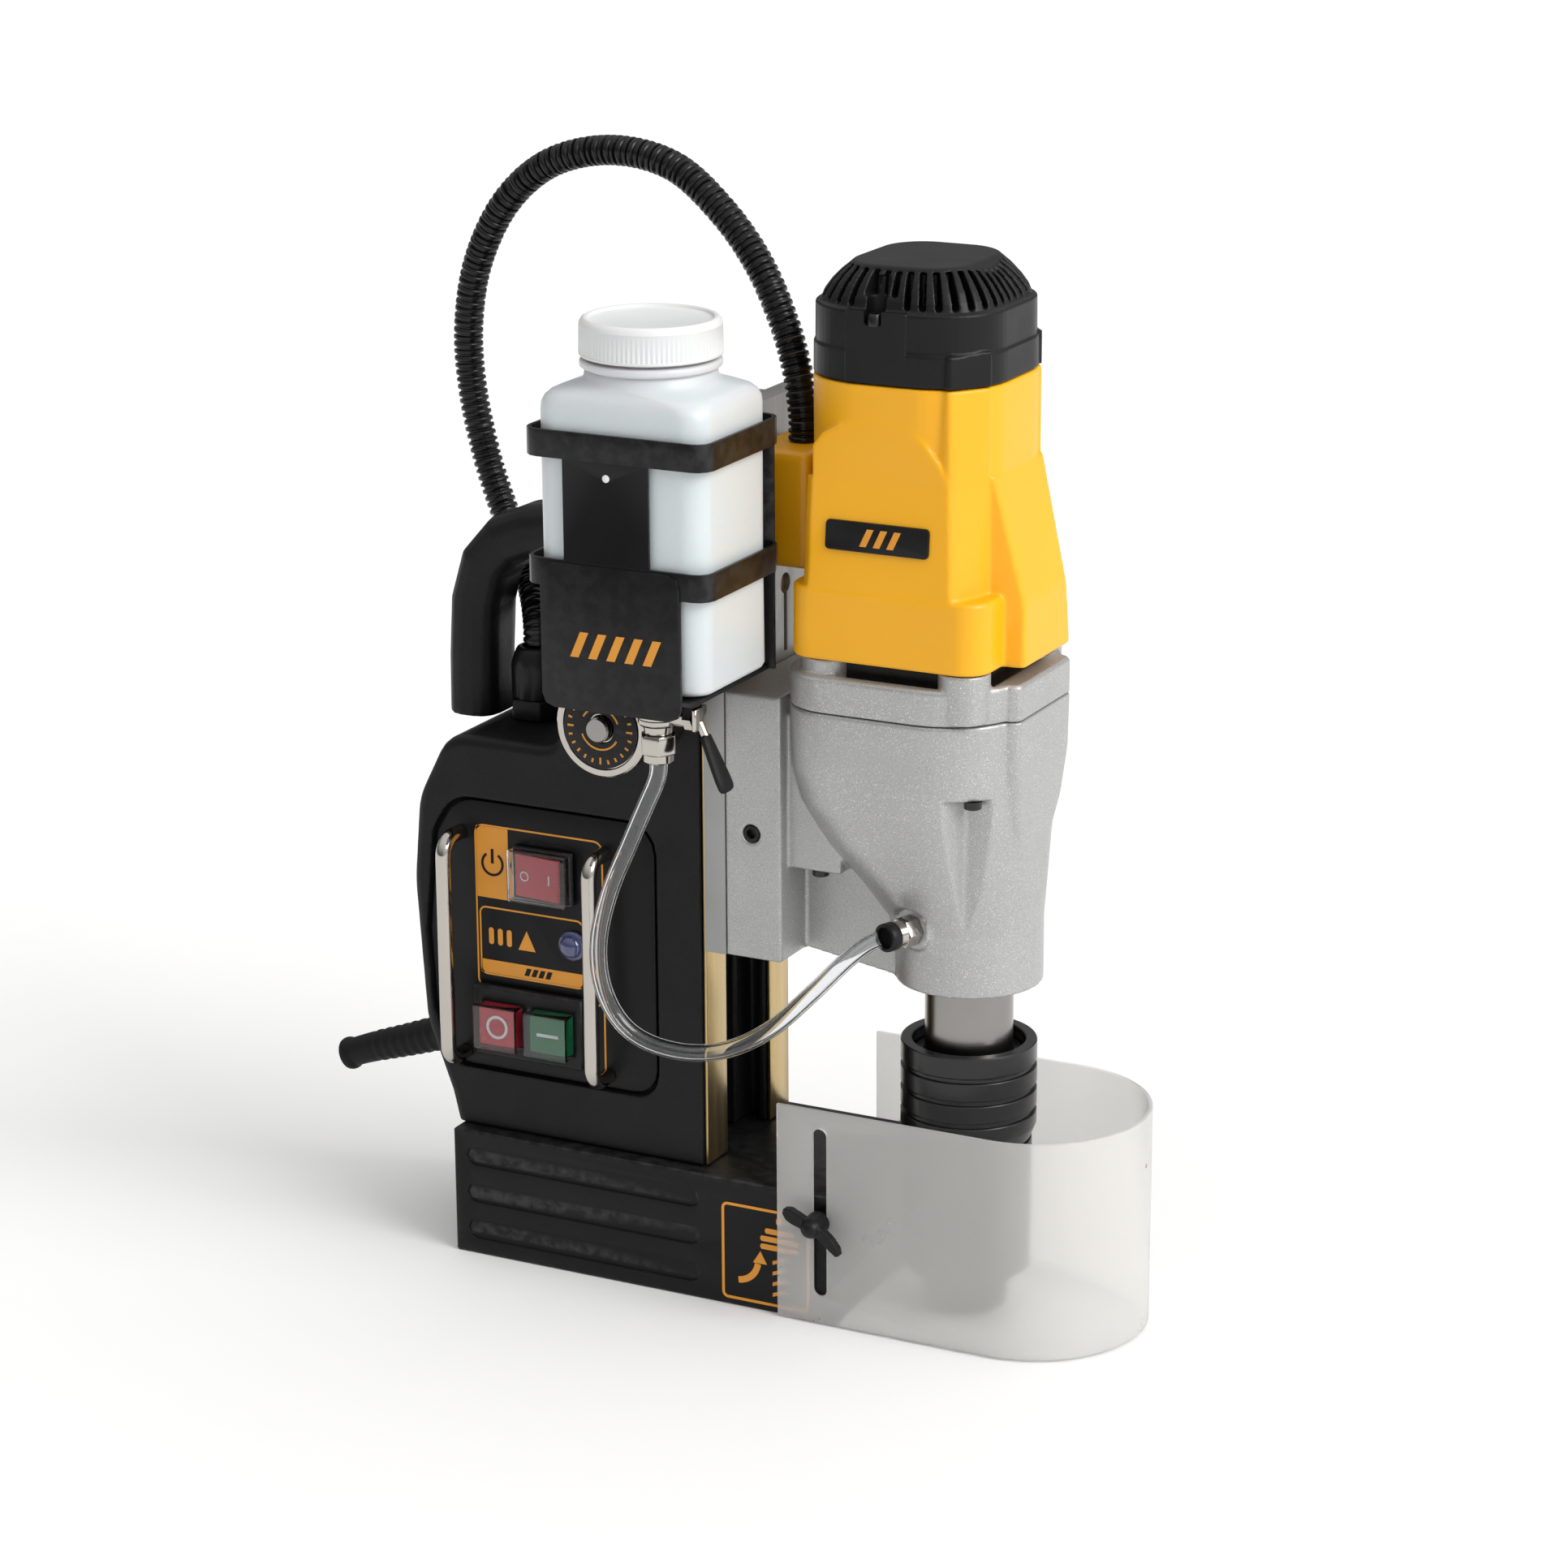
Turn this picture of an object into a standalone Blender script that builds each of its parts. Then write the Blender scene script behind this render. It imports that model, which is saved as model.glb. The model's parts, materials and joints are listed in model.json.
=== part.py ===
"""Magnetic drill press: a switchable magnet carries a cast column, on which a geared drill motor slides.

Sizes are in millimetres and are turned into metres as each mesh is made. The origin is the centre of the
magnet's underside, +X points from the column to the spindle, -Y is the side with the switches, +Z is up.
"""

import math

import bmesh
import bpy
from mathutils import Matrix, Vector

# Driving dimensions

MM = 0.001
GAP = 0.3

BASE_LENGTH, BASE_WIDTH, BASE_HEIGHT = 168.0, 84.0, 51.8
COLUMN_FRONT, COLUMN_TOP, COLUMN_HALF = 24.0, 302.0, 36.0
SPINDLE_X = 119.3
MOTOR_X = 100.4
FEED_X, FEED_Z = 1.0, 233.0
SLIDE_LOW, SLIDE_HIGH, SLIDE_HALF = 139.7, 346.0, 35.5
SLIDE_FACE = 34.6
GEARBOX_X, GEARBOX_HALF, GEARBOX_TOP = 103.0, 44.0, 242.0
COVER_RIM, COVER_TOP = 256.2, 261.2
MOTOR_LOW, MOTOR_SPLIT, MOTOR_TOP = 261.5, 364.0, 405.5
NOSE_RADIUS, NOSE_LOW = 27.8, 133.5
GUARD_REAR, GUARD_FRONT, GUARD_HALF, GUARD_SHEET = 60.0, 191.0, 44.4, 1.6
GUARD_LOW, GUARD_HIGH, GUARD_CORNER = 1.0, 87.0, 44.3
WING_X, WING_Z = 78.0, 42.4
BOTTLE_X, BOTTLE_Y = 22.9, -66.25
PANEL_FACE = -34.5
PANEL_MIDDLE = (-45.0, 130.0)
PANEL_POCKET = (
    (5, 76, 10),
    (5, 187, 12),
    (-84, 187, 14),
    (-93, 172, 12),
    (-97, 131, 40),
    (-95, 98, 16),
    (-86, 76, 9),
)
BOLT_PLACES = (-74.0, -20.0)
TAP_X, TAP_Y, TAP_Z = 29.8, -77.5, 245.0
GLAND_X, GLAND_Y = -65.5, 1.0
FITTING_ANGLE = math.radians(249.1)
FITTING_Z = 158.3

FEED_MODULE, FEED_TEETH = 1.5, 16
GEAR_MODULE = 1.0
ARMATURE_TEETH, LAY_BIG_TEETH, LAY_SMALL_TEETH, SPINDLE_TEETH = 8, 36, 11, 33
GEAR_CENTRES = 22.0
LAY_X = (SPINDLE_X + MOTOR_X) / 2
LAY_Y = math.sqrt(GEAR_CENTRES**2 - ((SPINDLE_X - MOTOR_X) / 2) ** 2)

CONDUIT_RADIUS = 5.8
CONDUIT_ROUTE = (
    (-65.5, 1.0, 240.6), (-65.6, 1.4, 243.6), (-67.6, 4.6, 248.6), (-72.6, 11.6, 254.6),
    (-79.4, 19.2, 261.8),
    (-88.2, 24.8, 274.0), (-96.0, 27.8, 287.5), (-103.7, 29.5, 307.0), (-109.6, 30.5, 332.0),
    (-110.6, 30.5, 357.0), (-105.0, 30.0, 383.0), (-91.0, 29.0, 407.0), (-69.8, 27.0, 423.4),
    (-41.6, 24.0, 430.3), (-13.4, 20.0, 426.6), (9.5, 15.0, 412.2), (27.2, 10.0, 394.6),
    (39.8, 5.5, 374.5), (47.0, 2.2, 357.0),
    (50.2, 0.4, 342.0), (50.5, 0.0, 336.5), (50.5, 0.0, 332.4),
)
TUBE_RADIUS = 3.3
TUBE_ROUTE = (
    (29.8, -77.5, 226.0), (29.6, -77.5, 222.0), (28.0, -77.6, 217.0), (25.0, -77.8, 210.5),
    (17.3, -78.0, 193.3),
    (8.3, -77.5, 173.0), (2.8, -76.5, 152.8), (3.3, -75.0, 135.0), (9.6, -72.8, 121.0),
    (20.0, -70.0, 113.4), (35.3, -66.5, 110.8), (50.4, -62.7, 113.6), (65.3, -58.5, 122.4),
    (79.6, -53.5, 136.7), (91.0, -48.7, 149.5), (98.0, -44.9, 156.0), (101.9, -42.4, 158.0),
)

# Collections and materials


def clear_scene():
    for item in list(bpy.data.objects):
        bpy.data.objects.remove(item, do_unlink=True)


def new_collection(name):
    collection = bpy.data.collections.new(name)
    bpy.context.scene.collection.children.link(collection)
    return collection


def new_material(name, colour, roughness, metallic=0.0, alpha=1.0):
    made = bpy.data.materials.new(name)
    made.use_nodes = True
    shader = made.node_tree.nodes["Principled BSDF"]
    shader.inputs["Base Color"].default_value = (*colour, 1.0)
    shader.inputs["Roughness"].default_value = roughness
    shader.inputs["Metallic"].default_value = metallic
    shader.inputs["Alpha"].default_value = alpha
    return made


clear_scene()
PARTS = new_collection("magnetic_drill_press")
CUTTERS = new_collection("cutters")

CAST_BLACK = new_material("cast_black", (0.02, 0.02, 0.02), 0.5)
SATIN_BLACK = new_material("satin_black", (0.015, 0.015, 0.015), 0.35)
YELLOW = new_material("yellow_plastic", (0.9, 0.55, 0.02), 0.4)
SILVER = new_material("cast_silver", (0.5, 0.5, 0.5), 0.45, 0.6)
STEEL = new_material("steel", (0.55, 0.55, 0.56), 0.25, 1.0)
CHROME = new_material("chrome", (0.8, 0.8, 0.8), 0.08, 1.0)
BRASS = new_material("brass", (0.7, 0.5, 0.2), 0.3, 1.0)
COPPER = new_material("copper", (0.7, 0.3, 0.15), 0.4, 1.0)
RESIN = new_material("resin", (0.1, 0.07, 0.04), 0.5)
WHITE = new_material("bottle_white", (0.9, 0.9, 0.92), 0.4)
CLEAR = new_material("clear_plastic", (0.9, 0.9, 0.92), 0.1, 0.0, 0.35)
FROST = new_material("frosted_sheet", (0.9, 0.92, 0.93), 0.5, 0.0, 0.6)
RED = new_material("red_plastic", (0.6, 0.02, 0.02), 0.3)
GREEN = new_material("green_plastic", (0.0, 0.3, 0.1), 0.3)
LENS = new_material("lamp_lens", (0.1, 0.1, 0.2), 0.1)
BOARD = new_material("circuit_board", (0.02, 0.2, 0.08), 0.5)

# Shape helpers


def place(name, mesh_data, material, pivot=(0, 0, 0), collection=None, angle=35.0):
    """Makes an object from a bmesh in millimetres, with its origin at the pivot."""
    bmesh.ops.remove_doubles(mesh_data, verts=mesh_data.verts, dist=0.0005)
    bmesh.ops.recalc_face_normals(mesh_data, faces=mesh_data.faces)
    bmesh.ops.translate(mesh_data, verts=mesh_data.verts, vec=-Vector(pivot))
    bmesh.ops.scale(mesh_data, verts=mesh_data.verts, vec=(MM, MM, MM))
    mesh = bpy.data.meshes.new(name)
    mesh_data.to_mesh(mesh)
    mesh_data.free()
    mesh.materials.append(material)
    mesh.shade_smooth()
    mesh.set_sharp_from_angle(angle=math.radians(angle))
    made = bpy.data.objects.new(name, mesh)
    made.location = Vector(pivot) * MM
    (collection or PARTS).objects.link(made)
    if collection is CUTTERS:
        made.hide_render = True
        made.display_type = "WIRE"
    return made


def box_mesh(low, high, bevel=0.0, segments=2):
    made = bmesh.new()
    bmesh.ops.create_cube(made, size=1.0)
    low, high = Vector(low), Vector(high)
    bmesh.ops.scale(made, verts=made.verts, vec=high - low)
    bmesh.ops.translate(made, verts=made.verts, vec=(low + high) / 2)
    if bevel:
        bmesh.ops.bevel(
            made, geom=made.edges[:], offset=bevel, segments=segments, profile=0.5, affect="EDGES"
        )
    return made


def rod_mesh(start, end, radius, segments=32, end_radius=None):
    """A cylinder or cone between two points."""
    made = bmesh.new()
    start, end = Vector(start), Vector(end)
    bmesh.ops.create_cone(
        made,
        cap_ends=True,
        segments=segments,
        radius1=radius,
        radius2=radius if end_radius is None else end_radius,
        depth=(end - start).length,
    )
    turn = Vector((0, 0, 1)).rotation_difference(end - start).to_matrix()
    bmesh.ops.rotate(made, verts=made.verts, cent=(0, 0, 0), matrix=turn)
    bmesh.ops.translate(made, verts=made.verts, vec=(start + end) / 2)
    return made


def rounded_rect(half_x, half_y, radius, centre=(0.0, 0.0), steps=4):
    """Corner points of a rounded rectangle, anticlockwise."""
    points = []
    for quarter, (side_x, side_y) in enumerate(((1, 1), (-1, 1), (-1, -1), (1, -1))):
        for step in range(steps + 1):
            angle = math.pi / 2 * (quarter + step / steps)
            x = centre[0] + side_x * (half_x - radius) + radius * math.cos(angle)
            y = centre[1] + side_y * (half_y - radius) + radius * math.sin(angle)
            points.append((x, y))
    return points


def hexagon(x, y, radius):
    """Corner points of a hexagon about (x, y)."""
    return [
        (x + radius * math.cos(math.pi / 3 * corner), y + radius * math.sin(math.pi / 3 * corner))
        for corner in range(6)
    ]


def filleted(corners, steps=4):
    """Rounds each corner (u, v, radius) of a polygon with an arc."""
    points = []
    count = len(corners)
    for index, (u, v, radius) in enumerate(corners):
        corner = Vector((u, v))
        before = Vector(corners[index - 1][:2]) - corner
        after = Vector(corners[(index + 1) % count][:2]) - corner
        if radius <= 0:
            points.append((u, v))
            continue
        half = before.angle(after) / 2
        reach = radius / math.tan(half)
        bisector = (before.normalized() + after.normalized()).normalized()
        middle = corner + bisector * radius / math.sin(half)
        first = corner + before.normalized() * reach - middle
        last = corner + after.normalized() * reach - middle
        sweep = first.angle_signed(last)
        for step in range(steps + 1):
            spoke = first.copy()
            spoke.rotate(Matrix.Rotation(-sweep * step / steps, 2))
            points.append(tuple(middle + spoke))
    return points


def prism_mesh(outline, low, high, axis="Z"):
    """Extrudes an outline of (x, y), (x, z) for axis Y, or (y, z) for axis X."""
    place_point = {
        "Z": lambda u, v: (u, v, low),
        "Y": lambda u, v: (u, low, v),
        "X": lambda u, v: (low, u, v),
    }[axis]
    step = {"Z": (0, 0, high - low), "Y": (0, high - low, 0), "X": (high - low, 0, 0)}[axis]
    made = bmesh.new()
    face = made.faces.new([made.verts.new(place_point(u, v)) for u, v in outline])
    grown = bmesh.ops.extrude_face_region(made, geom=[face])
    moved = [item for item in grown["geom"] if isinstance(item, bmesh.types.BMVert)]
    bmesh.ops.translate(made, verts=moved, vec=step)
    bmesh.ops.remove_doubles(made, verts=made.verts, dist=0.0005)
    return made


def loft_mesh(rings):
    """Joins rings of equal point counts into one closed skin."""
    made = bmesh.new()
    loops = [[made.verts.new(point) for point in ring] for ring in rings]
    for lower, upper in zip(loops, loops[1:]):
        for index in range(len(lower)):
            following = (index + 1) % len(lower)
            made.faces.new((lower[index], lower[following], upper[following], upper[index]))
    made.faces.new(reversed(loops[0]))
    made.faces.new(loops[-1])
    return made


def stacked(sections, steps=4):
    """Rings for a loft from sections (z, centre x, half x, half y, corner radius)."""
    return [
        [(x, y, z) for x, y in rounded_rect(half_x, half_y, radius, (centre, 0.0), steps)]
        for z, centre, half_x, half_y, radius in sections
    ]


def bevel_where(mesh_data, test, width, segments=2):
    chosen = [edge for edge in mesh_data.edges if test(edge)]
    bmesh.ops.bevel(
        mesh_data, geom=chosen, offset=width, segments=segments, profile=0.5, affect="EDGES"
    )


def turned(name, profile, material, location, axis="Z", segments=48, collection=None):
    """Turns a profile of (radius, height), running down its outer side, about an axis through location."""
    mesh = bpy.data.meshes.new(name)
    points = [(radius * MM, 0.0, height * MM) for radius, height in profile]
    edges = [(index, index + 1) for index in range(len(points) - 1)]
    if profile[0][0] > 0:
        edges.append((len(points) - 1, 0))
    mesh.from_pydata(points, edges, [])
    mesh.materials.append(material)
    made = bpy.data.objects.new(name, mesh)
    screw = made.modifiers.new("turn", "SCREW")
    screw.steps = segments
    screw.render_steps = segments
    screw.use_merge_vertices = True
    screw.merge_threshold = 0.00001
    screw.use_smooth_shade = True
    made.location = Vector(location) * MM
    made.rotation_euler = {
        "Z": (0, 0, 0),
        "-Y": (math.pi / 2, 0, 0),
        "X": (0, math.pi / 2, 0),
    }[axis]
    (collection or PARTS).objects.link(made)
    if collection is CUTTERS:
        made.hide_render = True
        made.display_type = "WIRE"
    return made


def combine(target, other, operation):
    modifier = target.modifiers.new(other.name, "BOOLEAN")
    modifier.object = other
    modifier.operation = operation
    modifier.solver = "EXACT"


def cut(target, name, mesh_data):
    cutter = place("cut_" + name, mesh_data, RESIN, collection=CUTTERS)
    combine(target, cutter, "DIFFERENCE")
    return cutter


def join(target, name, mesh_data):
    added = place("add_" + name, mesh_data, RESIN, collection=CUTTERS)
    combine(target, added, "UNION")
    return added


def smooth_route(route, spacing):
    """Evenly spaced points on a smooth curve through the route's points."""
    knots = [Vector(point) for point in route]
    knots = [2 * knots[0] - knots[1], *knots, 2 * knots[-1] - knots[-2]]
    fine = []
    for before, start, end, after in zip(knots, knots[1:], knots[2:], knots[3:]):
        for step in range(24):
            t = step / 24
            fine.append(
                0.5
                * (
                    2 * start
                    + (end - before) * t
                    + (2 * before - 5 * start + 4 * end - after) * t**2
                    + (3 * start - before - 3 * end + after) * t**3
                )
            )
    fine.append(knots[-2])
    total = sum((b - a).length for a, b in zip(fine, fine[1:]))
    count = max(2, round(total / spacing))
    points = [fine[0]]
    travelled = 0.0
    for a, b in zip(fine, fine[1:]):
        length = (b - a).length
        while len(points) < count and travelled + length >= total * len(points) / count:
            share = (total * len(points) / count - travelled) / length
            points.append(a.lerp(b, share))
        travelled += length
    lead_in = points[0] + (knots[2] - knots[1]).normalized() * 2.0
    lead_out = fine[-1] + (knots[-3] - knots[-2]).normalized() * 2.0
    return [points[0], lead_in, *points[1:], lead_out, fine[-1]]


def tube(name, points, radius, material, resolution=3, radii=None):
    """A round tube with filled ends along a line of points."""
    curve = bpy.data.curves.new(name, "CURVE")
    curve.dimensions = "3D"
    curve.bevel_depth = radius * MM
    curve.bevel_resolution = resolution
    curve.use_fill_caps = True
    spline = curve.splines.new("POLY")
    spline.points.add(len(points) - 1)
    for index, point in enumerate(points):
        spline.points[index].co = (*(Vector(point) * MM), 1.0)
        spline.points[index].radius = 1.0 if radii is None else radii[index]
    curve.materials.append(material)
    made = bpy.data.objects.new(name, curve)
    PARTS.objects.link(made)
    return made


def gear_outline(teeth, module, phase, centre, addendum=0.85, dedendum=1.2, fullness=0.8):
    """Points of a straight-flanked gear, with a tooth centred on the phase angle."""
    pitch = teeth * module / 2
    pitch_angle = 2 * math.pi / teeth
    half = pitch_angle / 4 * fullness
    flank = math.tan(math.radians(20)) * module / pitch
    points = []
    for tooth in range(teeth):
        middle = phase + tooth * pitch_angle
        for side, radius, spread in (
            (-1, pitch - dedendum * module, half + flank * dedendum),
            (-1, pitch + addendum * module, half - flank * addendum),
            (1, pitch + addendum * module, half - flank * addendum),
            (1, pitch - dedendum * module, half + flank * dedendum),
        ):
            angle = middle + side * spread
            points.append(
                (centre[0] + radius * math.cos(angle), centre[1] + radius * math.sin(angle))
            )
    return points


def bent_bar(centre, height, lift, bend, foot_y, steps=5):
    """Points of a bar standing on two feet, with a round bend at each end."""
    x, z = centre
    points = [(x, foot_y, z + height / 2)]
    for step in range(steps + 1):
        angle = math.pi / 2 * step / steps
        points.append(
            (
                x,
                foot_y - lift + bend * (1 - math.sin(angle)),
                z + height / 2 - bend * (1 - math.cos(angle)),
            )
        )
    return points + [(px, py, 2 * z - pz) for px, py, pz in reversed(points)]


# Magnet


def make_magnet():
    half_length, half_width = BASE_LENGTH / 2, BASE_WIDTH / 2
    base = place(
        "magnet_body",
        box_mesh((-half_length, -half_width, 0), (half_length, half_width, BASE_HEIGHT), 0.8, 1),
        SATIN_BLACK,
    )
    ring = cut(base, "coil_groove", prism_mesh(rounded_rect(62, 30, 8), -2, 30))
    cut(ring, "coil_core", prism_mesh(rounded_rect(46, 14, 5), -4, 33))
    for side in (-1, 1):
        near, far = sorted((side * (half_width + 1), side * (half_width - 1.2)))
        for index, (low, high) in enumerate(((6.5, 14.8), (21.9, 30.0), (37.5, 45.1))):
            half = (high - low) / 2
            outline = [
                (x - 26.3, z + (low + high) / 2)
                for x, z in rounded_rect(51.7, half, half - 0.05, steps=2)
            ]
            cut(base, f"side_groove_{side}_{index}", prism_mesh(outline, near, far, "Y"))
        cut(
            base,
            f"stud_hole_{side}",
            rod_mesh((WING_X, side * 30, WING_Z), (WING_X, side * 44, WING_Z), 2.7, 16),
        )
    for x in BOLT_PLACES:
        cut(base, f"bolt_seat_{x}", rod_mesh((x, 0, -2), (x, 0, 10), 7.0, 20))
        cut(base, f"bolt_shank_{x}", rod_mesh((x, 0, 9), (x, 0, 60), 4.4, 12))
        end = "rear" if x == BOLT_PLACES[0] else "front"
        bolt = place(f"frame_bolt_{end}", rod_mesh((x, 0, 9), (x, 0, 66), 4.0, 12), STEEL)
        join(bolt, f"bolt_head_{x}", rod_mesh((x, 0, 1), (x, 0, 9.6), 6.5, 20))
        cut(bolt, f"bolt_socket_{x}", prism_mesh(hexagon(x, 0, 3.4), -1, 6))
    for name, low, high, grow, material in (
        ("magnet_coil", 6.3, 29.6, GAP, COPPER),
        ("coil_potting", 0.5, 6.0, GAP, RESIN),
    ):
        outer = rounded_rect(62 - grow, 30 - grow, 8 - grow)
        inner = rounded_rect(46 + grow, 14 + grow, 5 + grow)
        body = place(name, prism_mesh(outer, low, high), material)
        cut(body, name + "_core", prism_mesh(inner, low - 2, high + 2))


# Column, handle and ways


def make_column():
    low = BASE_HEIGHT + GAP
    outline = filleted(
        (
            (COLUMN_FRONT, low, 0),
            (COLUMN_FRONT, COLUMN_TOP, 0),
            (-36, COLUMN_TOP, 9),
            (-36, 211.5, 8),
            (-86, 211.5, 15),
            (-100, 184, 28),
            (-103, 150, 60),
            (-99.3, 93, 30),
            (-88.5, 64, 10),
            (-85.7, low, 0),
        )
    )
    shell = prism_mesh(outline, -COLUMN_HALF, COLUMN_HALF, "Y")

    def soft_edge(edge):
        first, last = edge.verts
        flat = abs(first.co.y - last.co.y) < 0.01
        inner = min(first.co.x, last.co.x) < COLUMN_FRONT - 0.5
        return flat and inner and max(first.co.z, last.co.z) > low + 0.5

    bevel_where(shell, soft_edge, 3.5, 2)
    column = place("column_casting", shell, CAST_BLACK)
    front, back = COLUMN_FRONT + 5, 15.1
    cut(column, "way_mouth", box_mesh((back, -17.1, 40), (front, 17.1, 320)))
    cut(column, "way_undercut", box_mesh((back, -22, 39), (20.4, 22, 321)))
    cut(column, "rack_slot", box_mesh((10.8, -8.8, 38), (16, 8.8, 322)))
    cut(column, "shaft_bore_near", rod_mesh((FEED_X, -40, FEED_Z), (FEED_X, -8.8, FEED_Z), 12.0, 24))
    cut(column, "shaft_bore_far", rod_mesh((FEED_X, -9.2, FEED_Z), (FEED_X, 40, FEED_Z), 14.3, 28))
    cut(column, "electronics", box_mesh((-88, -28, 84), (-14, 29, 190), 3.0, 1))
    pocket = filleted(PANEL_POCKET)
    cut(column, "panel_pocket", prism_mesh(pocket, -45, -32.5, "Y"))
    cut(column, "panel_window", box_mesh((-77, -40, 84.6), (-26, -20, 173)))
    for x in BOLT_PLACES:
        cut(column, f"column_bolt_{x}", rod_mesh((x, 0, 50), (x, 0, 67), 4.4, 16))


def make_handle():
    centreline = (
        (-90.2, 211.9), (-89.9, 235.0), (-88.6, 257.0), (-84.0, 272.5), (-75.5, 282.0),
        (-64.0, 286.8), (-50.0, 289.2), (-36.4, 290.5),
    )
    rings = []
    for index, (x, z) in enumerate(centreline):
        before = Vector(centreline[max(index - 1, 0)])
        after = Vector(centreline[min(index + 1, len(centreline) - 1)])
        along = (after - before).normalized()
        if index == 0:
            along = Vector((0, 1))
        if index == len(centreline) - 1:
            along = Vector((1, 0))
        across = Vector((along.y, -along.x))
        rings.append(
            [
                (x + across.x * u, v, z + across.y * u)
                for u, v in rounded_rect(10.2, 13.0, 7.5, steps=3)
            ]
        )
    place("carry_handle", loft_mesh(rings), CAST_BLACK)


def make_ways():
    for name, side in (("way_strip_near", -1), ("way_strip_far", 1)):
        low_y, high_y = sorted((side * 18.2, side * 34.3))
        place(
            name,
            box_mesh((COLUMN_FRONT + GAP, low_y, 52.6), (COLUMN_FRONT + 1.6, high_y, 301.6)),
            BRASS,
        )


# Switch panel


def panel_corners(inset):
    """Corners (x, z, radius) of the switch panel's outline, moved inwards by the inset."""
    return [
        (
            x + math.copysign(inset, PANEL_MIDDLE[0] - x),
            z + math.copysign(inset, PANEL_MIDDLE[1] - z),
            radius,
        )
        for x, z, radius in PANEL_POCKET
    ]


def make_panel():
    plate = place(
        "control_panel", prism_mesh(filleted(panel_corners(1.2)), PANEL_FACE, -32.8, "Y"), SATIN_BLACK
    )
    cut(plate, "rocker_window", box_mesh((-55, -40, 151.5), (-33, -20, 168)))
    cut(plate, "button_window", box_mesh((-73, -40, 85), (-29, -20, 110)))
    for name, x in (("guard_bar_rear", -81.5), ("guard_bar_front", -17.5)):
        points = bent_bar((x, 127.0), 90.0, 12.7, 7.0, PANEL_FACE - GAP)
        tube(name, points, 3.0, CHROME, 3)
    turned(
        "overload_lamp",
        ((0, 5.4), (2.6, 4.9), (4.3, 3.6), (4.9, 1.8), (5.8, 1.6), (5.8, 0), (0, 0)),
        LENS,
        (-32.0, PANEL_FACE - GAP, 133.0),
        "-Y",
        24,
    )
    make_rocker_switch()
    make_button_unit()
    board = place("circuit_board", box_mesh((-84, 6, 92), (-20, 8, 180)), BOARD)
    join(board, "transformer", box_mesh((-80, 7, 130), (-52, 26, 170)))
    join(board, "capacitor", rod_mesh((-35, 7, 110), (-35, 25, 110), 8, 16))
    join(board, "rectifier", box_mesh((-78, 7.5, 98), (-62, 14, 114)))


ROCKER_X, ROCKER_Z = -44.0, 159.7


def make_rocker_switch():
    front = PANEL_FACE - GAP - 2.2
    bezel = place(
        "rocker_bezel",
        box_mesh((ROCKER_X - 13.2, front, ROCKER_Z - 10.8), (ROCKER_X + 13.2, PANEL_FACE - GAP,
                                                            ROCKER_Z + 10.8), 0.6, 1),
        SATIN_BLACK,
    )
    join(
        bezel,
        "rocker_body",
        box_mesh((ROCKER_X - 10.6, -36, ROCKER_Z - 7.6), (ROCKER_X + 10.6, -16, ROCKER_Z + 7.6)),
    )
    cut(
        bezel,
        "rocker_hole",
        box_mesh((ROCKER_X - 9.7, -50, ROCKER_Z - 6.3), (ROCKER_X + 9.7, -18, ROCKER_Z + 6.3)),
    )
    pivot_y = -33.0
    outline = (
        (-8.6, -5.4), (0, -4.6), (8.6, -5.4), (8.6, -1.0), (4.5, 6.0), (-4.5, 6.0), (-8.6, -1.0),
    )
    shape = prism_mesh(
        [(ROCKER_X + x, pivot_y + y) for x, y in outline], ROCKER_Z - 5.8, ROCKER_Z + 5.8
    )
    rocker = place("power_rocker", shape, RED, (ROCKER_X, pivot_y, ROCKER_Z))
    rocker.rotation_euler.z = math.radians(-6.0)
    cover = place(
        "rocker_cover",
        box_mesh((ROCKER_X - 13.0, front - 5.0, ROCKER_Z - 10.6), (ROCKER_X + 13.0, front - GAP,
                                                                 ROCKER_Z + 10.6), 1.0, 2),
        CLEAR,
    )
    cut(
        cover,
        "cover_inside",
        box_mesh((ROCKER_X - 12.0, front - 4.0, ROCKER_Z - 9.6), (ROCKER_X + 12.0, front + 3,
                                                                ROCKER_Z + 9.6)),
    )


BUTTON_Z = 97.2


def make_button_unit():
    unit = place(
        "button_unit",
        box_mesh((-75.4, -38.4, 83.2), (-27.0, PANEL_FACE - GAP, 112.2), 0.8, 1),
        SATIN_BLACK,
    )
    join(unit, "button_body", box_mesh((-72.6, -36, 85.6), (-29.6, -14, 109.6)))
    for name, x, material in (
        ("stop_button", -62.3, RED),
        ("start_button", -39.8, GREEN),
    ):
        hole = box_mesh((x - 8.8, -50, BUTTON_Z - 8.3), (x + 8.8, -18, BUTTON_Z + 8.3))
        cut(unit, name + "_hole", hole)
        place(
            name,
            box_mesh((x - 8.3, -42.4, BUTTON_Z - 7.8), (x + 8.3, -24, BUTTON_Z + 7.8), 0.8, 1),
            material,
            (x, -33, BUTTON_Z),
        )


# Mains inlet, conduit and gland


def make_boot():
    """A boot square to the column's sloping rear face, with a flange there and a lip at its end."""
    points = smooth_route(
        ((-94.9, 0, 79.9), (-107, 0, 75.4), (-119, 0, 71.0), (-131, 0, 66.7), (-143, 0, 62.6),
         (-151, 0, 59.6), (-158.5, 0, 56.4)),
        8.0,
    )
    radii = [7.6 - 1.9 * index / (len(points) - 1) for index in range(len(points))]
    radii[0] = radii[1] = 9.2
    radii[-2] = radii[-1] = 6.8
    tube("cord_boot", points, 1.0, SATIN_BLACK, 2, radii)


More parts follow.
